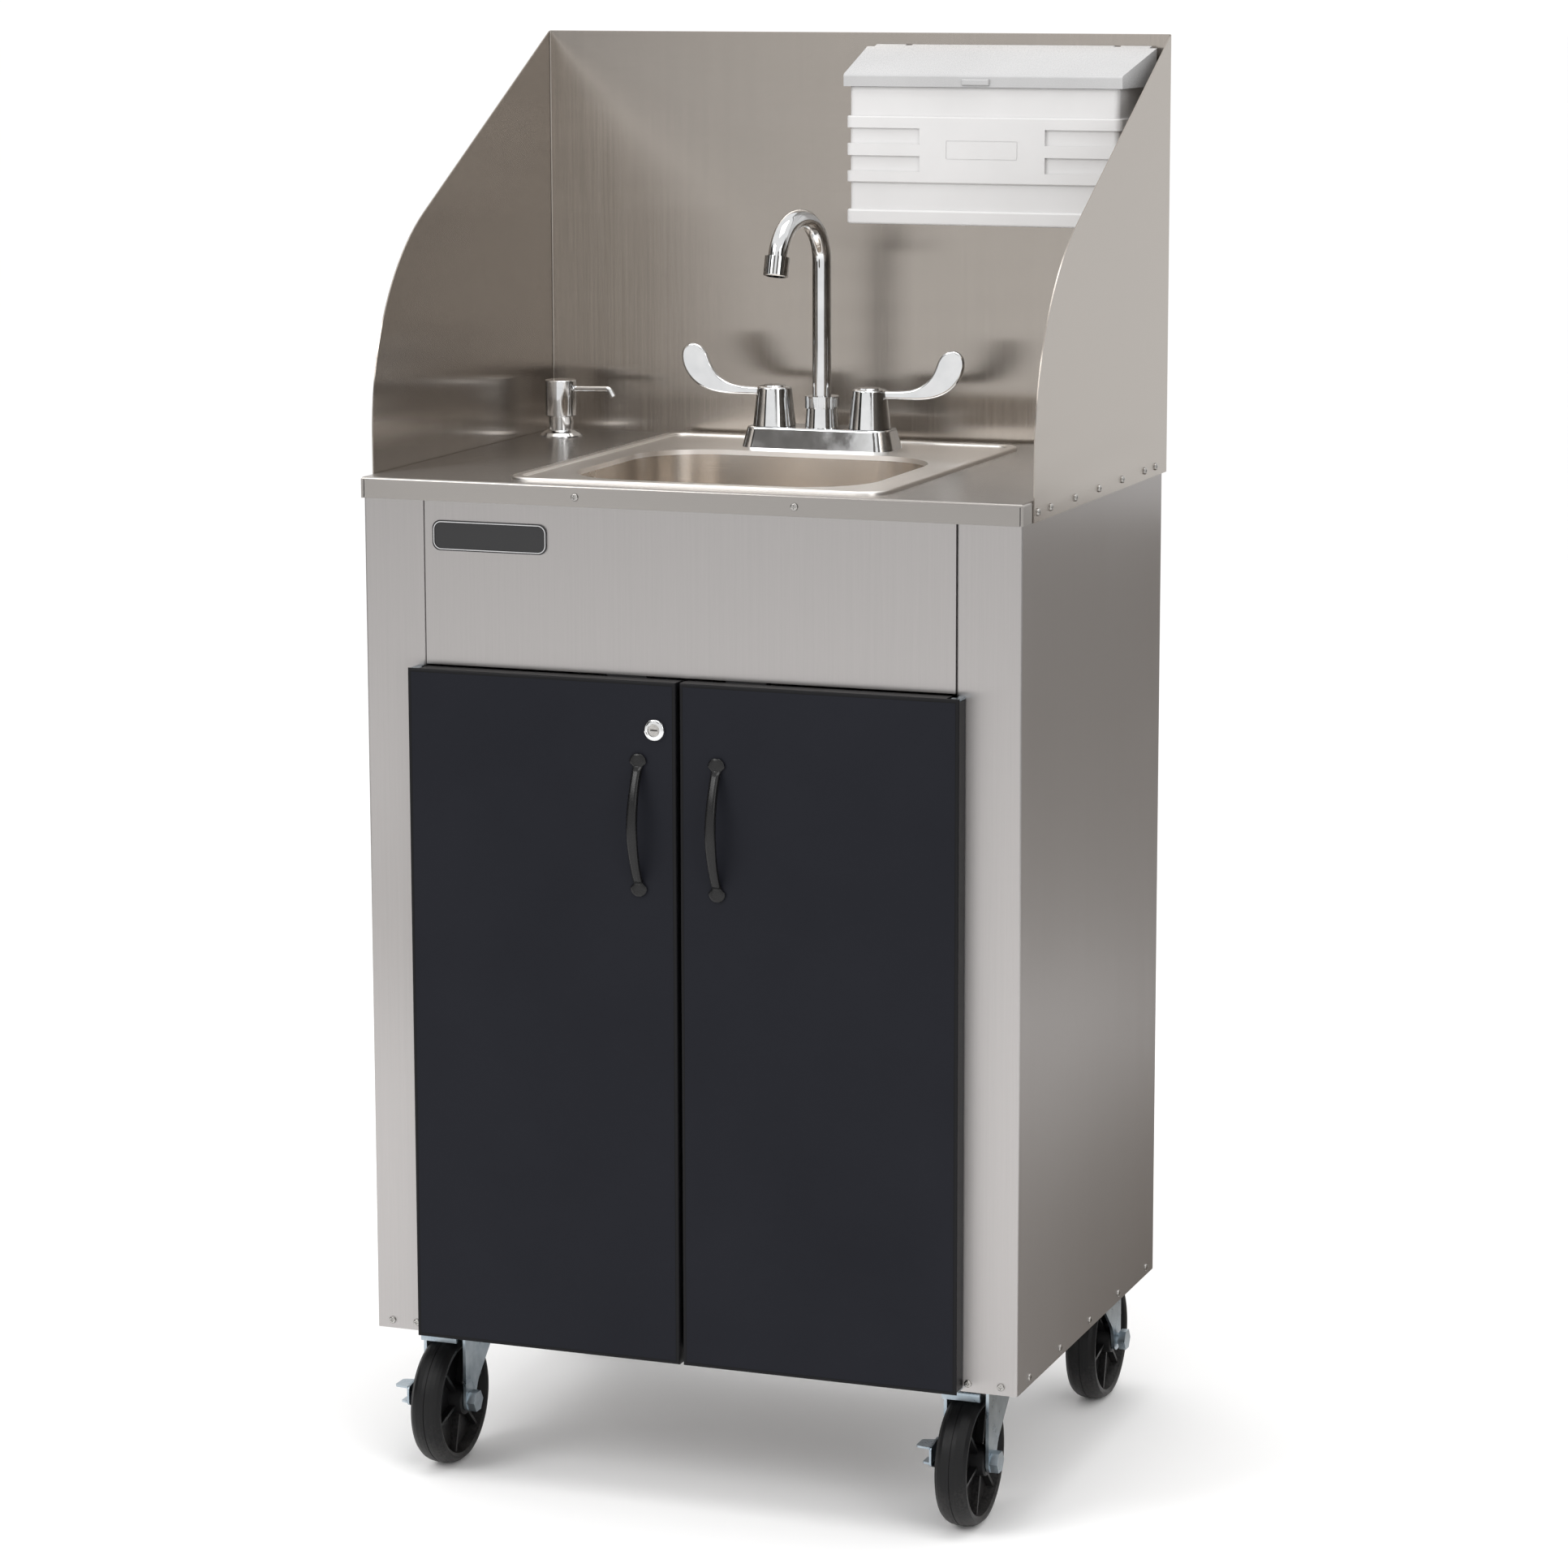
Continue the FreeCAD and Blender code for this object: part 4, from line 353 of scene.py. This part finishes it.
def copper_look():
    look = Look("copper_line", {"Metallic": 1.0})
    blotch = look.noise((1, 1, 1), 40.0, 4.0)
    look.drive("Base Color", look.ramp(blotch, 0.3, 0.72, grey(0.42, 0.17, 0.09), grey(0.72, 0.38, 0.24)))
    look.drive("Roughness", look.ramp(blotch, 0.3, 0.7, 0.22, 0.45))
    return look.material


PLASTIC_GRAIN = 1400.0
TANK_GRAIN = 500


def moulded_look(name, dark, light, rough, pebble=0.0, scale=PLASTIC_GRAIN, extra=None):
    """Moulded plastic with slight colour drift and a fine surface texture."""
    look = Look(name, extra or {})
    cloud = look.noise((1, 1, 1), 9.0, 3.0)
    texture = look.noise((1, 1, 1), scale, 2.0)
    look.drive("Base Color", look.ramp(cloud, 0.3, 0.7, dark, light))
    look.drive("Roughness", look.ramp(texture, 0.3, 0.7, rough - 0.05, rough + 0.05))
    look.bump(texture, pebble, 0.0003)
    return look.material


EDGE_BAND = 3.0 * MM
SEAM_WIDTH = 0.45 * MM


def laminate_look(node):
    """Charcoal laminate face with a glossy black edge band, a few millimetres wide, round it."""
    low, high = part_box(node)
    look = Look(node + "_laminate", {"Specular IOR Level": 0.09})
    normal = look.node("ShaderNodeSeparateXYZ")
    look.link(look.node("ShaderNodeTexCoord").outputs["Normal"], normal.inputs[0])
    facing = look.math("GREATER_THAN", look.math("ABSOLUTE", normal.outputs[1]), 0.97)
    inset = None
    for index in (0, 2):
        place = look.axis(index)
        near = look.math("SUBTRACT", place, low[index])
        far = look.math("SUBTRACT", high[index], place)
        least = look.math("MINIMUM", near, far)
        inset = least if inset is None else look.math("MINIMUM", inset, least)
    inside = look.math("MULTIPLY", facing, look.math("GREATER_THAN", inset, EDGE_BAND))
    seam = look.math("MULTIPLY", inside, look.math("LESS_THAN", inset, EDGE_BAND + SEAM_WIDTH))
    pebble = look.noise((1, 1, 1), 2600.0, 2.0)
    cloud = look.noise((1, 1, 1), 6.0, 3.0)
    face = look.ramp(cloud, 0.3, 0.7, grey(0.0084, 0.0090, 0.0128), grey(0.0106, 0.0113, 0.0156))
    face = look.mix(look.math("MULTIPLY", pebble, 0.25), face, grey(0.020, 0.021, 0.026))
    colour = look.mix(inside, grey(0.010, 0.010, 0.011), face)
    colour = look.mix(seam, colour, grey(0.004, 0.004, 0.004))
    look.drive("Base Color", colour)
    look.drive("Roughness", look.math("ADD", 0.28, look.math("MULTIPLY", inside, 0.24)))
    height = look.math("MULTIPLY", look.math("MULTIPLY", pebble, inside), 0.5)
    height = look.math("SUBTRACT", height, look.math("MULTIPLY", seam, 3.0))
    look.bump(height, 0.25, 0.0002)
    return look.material


BADGE_CORNER = 9.0 * MM
BADGE_LINE = (1.1 * MM, 1.9 * MM)


def badge_look():
    """Black enamel with a thin silver line that follows the badge's rounded edge."""
    low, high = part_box("nameplate")
    look = Look("badge_enamel", {"Specular IOR Level": 0.5})
    deep = None
    total = None
    for index in (0, 2):
        middle = (low[index] + high[index]) / 2
        reach = (high[index] - low[index]) / 2 - BADGE_CORNER
        offset = look.math("ABSOLUTE", look.math("SUBTRACT", look.axis(index), middle))
        offset = look.math("SUBTRACT", offset, reach)
        beyond = look.math("MAXIMUM", offset, 0.0)
        square = look.math("MULTIPLY", beyond, beyond)
        deep = offset if deep is None else look.math("MAXIMUM", deep, offset)
        total = square if total is None else look.math("ADD", total, square)
    edge = look.math("ADD", look.math("SQRT", total), look.math("MINIMUM", deep, 0.0))
    inset = look.math("SUBTRACT", BADGE_CORNER, edge)
    line = look.math("GREATER_THAN", inset, BADGE_LINE[0])
    line = look.math("MULTIPLY", line, look.math("LESS_THAN", inset, BADGE_LINE[1]))
    speck = look.noise((1, 1, 1), 900.0, 2.0)
    enamel = look.ramp(speck, 0.3, 0.7, grey(0.008, 0.008, 0.009), grey(0.013, 0.013, 0.014))
    look.drive("Base Color", look.mix(line, enamel, grey(0.62, 0.62, 0.63)))
    look.drive("Metallic", line)
    look.drive("Roughness", look.math("ADD", 0.14, look.math("MULTIPLY", speck, 0.08)))
    look.bump(line, 0.4, 0.0003)
    return look.material


def rubber_look():
    look = Look("wheel_rubber", {"Specular IOR Level": 0.24})
    dust = look.noise((1, 1, 1), 38.0, 6.0, 0.7)
    speck = look.noise((1, 1, 1), 420.0, 3.0)
    low_down = look.math("SUBTRACT", 1.0, look.math("MULTIPLY", look.axis(2), 11.0))
    share = look.math("MULTIPLY", look.math("MAXIMUM", low_down, 0.1), dust)
    share = look.math("MULTIPLY", share, speck)
    worn = look.ramp(share, 0.10, 0.42, grey(0.0045, 0.0045, 0.005), grey(0.045, 0.042, 0.040))
    look.drive("Base Color", worn)
    look.drive("Roughness", look.ramp(dust, 0.3, 0.7, 0.34, 0.55))
    look.bump(speck, 0.10, 0.0004)
    return look.material


def paper_look():
    look = Look("folded_paper", {"Roughness": 0.9, "Specular IOR Level": 0.2})
    sheets = look.noise((3, 3, 900), 1.0, 2.0)
    emboss = look.noise((1, 1, 1), 420.0, 1.0)
    look.drive("Base Color", look.ramp(sheets, 0.35, 0.65, grey(0.62, 0.60, 0.56), grey(0.88, 0.87, 0.84)))
    look.bump(emboss, 0.3, 0.0004)
    return look.material


# Brush directions lean slightly off the axes, so that no face's normal is parallel to one.
VERTICAL = (0.013, 0.021, 1)
ALONG_X = (1, 0.021, 0.013)
FLANGE_START = 1.6 * MM


def make_looks():
    white = grey(0.60, 0.595, 0.595)
    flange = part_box("countertop")[1][2] - FLANGE_START
    glossy = {"Specular IOR Level": 0.32}
    return {
        "front": steel_look("cabinet_steel", (0.435, 0.418, 0.412), VERTICAL, 0.33),
        "guard": steel_look("guard_steel", (0.41, 0.375, 0.34), VERTICAL, 0.21, 0.0022, 0.06),
        # The counter's front flange, below the top, is painted darker as painted shade.
        "counter": steel_look("counter_steel", (0.41, 0.39, 0.37), ALONG_X, 0.23, 0.0, 0.05, flange),
        "basin": satin_steel_look(),
        "chrome": chrome_look(),
        "zinc": zinc_look(),
        "screw": screw_look(),
        "brass": brass_look(),
        "copper": copper_look(),
        "white": moulded_look("white_plastic", white, grey(0.64, 0.635, 0.635), 0.34, 0.03),
        # Painted shade: the lid is white plastic like the body, painted grey for the shade that falls on it.
        "lid": moulded_look("lid_plastic_painted_shade", grey(0.41, 0.41, 0.413), grey(0.45, 0.45, 0.453), 0.27, 0.02),
        "pipe": moulded_look("pipe_plastic", grey(0.60, 0.60, 0.58), grey(0.68, 0.68, 0.66), 0.42, 0.04),
        "fresh": moulded_look(
            "fresh_tank_plastic", grey(0.55, 0.64, 0.70), grey(0.66, 0.74, 0.79), 0.38, 0.12, TANK_GRAIN
        ),
        "waste": moulded_look(
            "waste_tank_plastic", grey(0.30, 0.31, 0.31), grey(0.38, 0.39, 0.39), 0.42, 0.12, TANK_GRAIN
        ),
        "black": moulded_look(
            "black_plastic", grey(0.012, 0.012, 0.013), grey(0.020, 0.020, 0.021), 0.42, 0.15
        ),
        "handle": moulded_look(
            "handle_plastic", grey(0.004, 0.004, 0.0045), grey(0.007, 0.007, 0.0075), 0.26, 0.03,
            PLASTIC_GRAIN, glossy
        ),
        "heater": moulded_look("heater_case", white, grey(0.83, 0.83, 0.82), 0.36, 0.05),
        "plate": badge_look(),
        "bottle": moulded_look("bottle_plastic", grey(0.70, 0.70, 0.66), grey(0.78, 0.78, 0.74), 0.28, 0.02),
        "rubber": rubber_look(),
        "paper": paper_look(),
        "left_door": laminate_look("left_door"),
        "right_door": laminate_look("right_door"),
    }


CAD_LOOKS = {
    "front": ["left_side_panel", "right_side_panel", "back_panel", "base_pan", "front_apron"],
    "guard": ["splash_guard"],
    "counter": ["countertop"],
    "basin": ["sink_basin", "drain_strainer"],
    "chrome": ["faucet_base", "spout_nut", "spout", "aerator", "left_faucet_handle",
               "right_faucet_handle", "soap_collar", "soap_pump_head", "lock_barrel"],
    "screw": ["fasteners", "lock_plug"],
    "zinc": ["door_hinge_brackets", "lock_cam", "caster_plates", "front_left_brake", "front_right_brake"],
    "brass": ["valve_bodies"],
    "copper": ["water_lines"],
    "pipe": ["waste_pipe", "drain_tailpiece"],
    "white": ["towel_dispenser_body", "soap_stem"],
    "lid": ["towel_lid"],
    "fresh": ["fresh_water_tank"],
    "waste": ["waste_water_tank"],
    "black": ["tank_caps", "water_pump", "power_inlet", "magnetic_catches", "switch_rocker"],
    "handle": ["left_door_handle", "right_door_handle"],
    "heater": ["water_heater"],
    "plate": ["nameplate"],
    "bottle": ["soap_bottle"],
    "paper": ["paper_towels"],
    "left_door": ["left_door"],
    "right_door": ["right_door"],
}
CAD_SHARP_ANGLE = 30
PIECE_SHARP_ANGLE = 42
CORNERS = ("front_left", "front_right", "back_left", "back_right")


def dress_cad_nodes(looks):
    wanted = {node: look for look, nodes in CAD_LOOKS.items() for node in nodes}
    for corner in CORNERS:
        wanted[corner + "_fork"] = "zinc"
        wanted[corner + "_axle"] = "zinc"
        wanted[corner + "_wheel"] = "rubber"
    for name, node in NODES.items():
        node.data.shade_smooth()
        node.data.set_sharp_from_angle(angle=math.radians(CAD_SHARP_ANGLE))
        node.data.materials.clear()
        node.data.materials.append(looks[wanted[name]])


# ---------------------------------------------------------------- pieces
def ease(t):
    """0 to 1 with level ends."""
    t = min(max(t, 0.0), 1.0)
    return t * t * (3 - 2 * t)


def add_piece(name, mesh, look, body, nodes=()):
    """Put a finished bmesh in the scene as a piece that rides on a body and may stand for CAD nodes."""
    data = bpy.data.meshes.new(name)
    bmesh.ops.recalc_face_normals(mesh, faces=mesh.faces)
    mesh.to_mesh(data)
    mesh.free()
    piece = bpy.data.objects.new(name, data)
    bpy.context.scene.collection.objects.link(piece)
    data.materials.append(look)
    data.shade_smooth()
    data.set_sharp_from_angle(angle=math.radians(PIECE_SHARP_ANGLE))
    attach(piece, body)
    if nodes:
        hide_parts(*nodes)
    return piece


def loft(mesh, rings):
    """Skin a row of closed rings and cap its two ends."""
    rows = [[mesh.verts.new(point) for point in ring] for ring in rings]
    count = len(rows[0])
    for near, far in zip(rows, rows[1:]):
        for i in range(count):
            j = (i + 1) % count
            mesh.faces.new((near[i], near[j], far[j], far[i]))
    mesh.faces.new(rows[0][::-1])
    mesh.faces.new(rows[-1])


HANDLE_STATIONS = 110
HANDLE_SIDES = 28
FOOT_RADIUS = 8.5 * MM
FOOT_THICKNESS = 3.4 * MM
NECK_WIDTH = 9.6 * MM
BAR_WIDTH = 10.8 * MM
BAR_THICKNESS = 7.0 * MM
BAR_START = 1.5 * FOOT_RADIUS
BOX_GAP = 0.2 * MM
DOOR_FIT = 0.1 * MM
TIP = 0.004
GROOVE = 0.16


def door_handle(side, look):
    """Bow handle: two round feet, and a bar with a groove down its middle that bows outwards."""
    node = side + "_door_handle"
    low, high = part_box(node)
    door_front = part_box(side + "_door")[0][1]
    middle = (low[0] + high[0]) / 2
    span = high[2] - low[2]
    lift = door_front - low[1] - BAR_THICKNESS / 2 - BOX_GAP
    mesh = bmesh.new()
    rings = []
    for i in range(HANDLE_STATIONS + 1):
        share = (1 - math.cos(math.pi * i / HANDLE_STATIONS)) / 2
        share = TIP + (1 - 2 * TIP) * share
        run = share * span
        end = min(run, span - run)
        if end < FOOT_RADIUS:
            width = 2 * math.sqrt(FOOT_RADIUS ** 2 - (FOOT_RADIUS - end) ** 2)
        else:
            narrow = ease((end - FOOT_RADIUS) / (0.55 * FOOT_RADIUS))
            width = 2 * FOOT_RADIUS + (NECK_WIDTH - 2 * FOOT_RADIUS) * narrow
            width += (BAR_WIDTH - NECK_WIDTH) * ease((end - 3 * FOOT_RADIUS) / (4 * FOOT_RADIUS))
        grown = ease((end - BAR_START) / (0.35 * FOOT_RADIUS))
        thick = FOOT_THICKNESS + (BAR_THICKNESS - FOOT_THICKNESS) * grown
        round_end = min(1.0, 0.45 + end / (0.5 * FOOT_RADIUS))
        bow = max(0.0, (end - BAR_START) / (span / 2 - BAR_START))
        rise = math.sin(math.pi / 2 * bow) ** 0.85
        centre = FOOT_THICKNESS / 2 + DOOR_FIT + (lift - FOOT_THICKNESS / 2) * rise
        ring = []
        for k in range(HANDLE_SIDES):
            angle = 2 * math.pi * k / HANDLE_SIDES
            out = math.sin(angle)
            across = math.copysign(abs(math.cos(angle)) ** 0.75, math.cos(angle))
            ridge = out if out < 0 else out - GROOVE * grown * max(0.0, 1 - abs(across) / 0.3)
            ring.append(Vector((
                middle + width / 2 * across,
                door_front - centre - thick / 2 * ridge * round_end,
                low[2] + run,
            )))
        rings.append(ring)
    loft(mesh, rings)
    return add_piece(node + "_bow", mesh, look, side + "_door", [node])


LATHE_SIDES = 64
LOCK_RADIUS = 10.2 * MM
LOCK_RISE = 1.6 * MM
LOCK_SINK = 1.2 * MM
PLUG_GAP = 0.2 * MM
DOME_STEPS = 8


def lathe(mesh, centre, profile):
    """Turn a closed (radius, depth) profile about a line along Y; depth is measured towards the front."""
    rows = []
    for radius, depth in profile:
        row = []
        for k in range(LATHE_SIDES):
            angle = 2 * math.pi * k / LATHE_SIDES
            across, up = radius * math.cos(angle), radius * math.sin(angle)
            row.append(mesh.verts.new((centre[0] + across, centre[1] - depth, centre[2] + up)))
        rows.append(row)
    for near, far in zip(rows, rows[1:] + rows[:1]):
        for k in range(LATHE_SIDES):
            j = (k + 1) % LATHE_SIDES
            mesh.faces.new((near[k], near[j], far[j], far[k]))


def dome_profile(inner, outer, base, rise):
    """A bulge from the inner radius to the outer one, closed behind by a flat back."""
    back = base - LOCK_SINK
    points = [(inner, back), (inner, base + rise)]
    for i in range(1, DOME_STEPS + 1):
        turn = math.pi / 2 * i / DOME_STEPS
        points.append((inner + (outer - inner) * math.sin(turn), base + rise * math.cos(turn)))
    points.append((outer, back))
    return points


def lock_face(look):
    """Domed ring round the keyhole plug, in front of the barrel's flat CAD face."""
    low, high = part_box("lock_barrel")
    centre = ((low[0] + high[0]) / 2, 0, (low[2] + high[2]) / 2)
    plug_low, plug_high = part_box("lock_plug")
    inner = (plug_high[2] - plug_low[2]) / 2 + PLUG_GAP
    mesh = bmesh.new()
    lathe(mesh, centre, dome_profile(inner, LOCK_RADIUS, -low[1], LOCK_RISE))
    return add_piece("lock_bezel", mesh, look, "left_door")


# ---------------------------------------------------------------- build
def main():
    add_camera()
    add_studio()
    looks = make_looks()
    dress_cad_nodes(looks)
    for side in ("left", "right"):
        door_handle(side, looks["handle"])
    lock_face(looks["chrome"])


main()
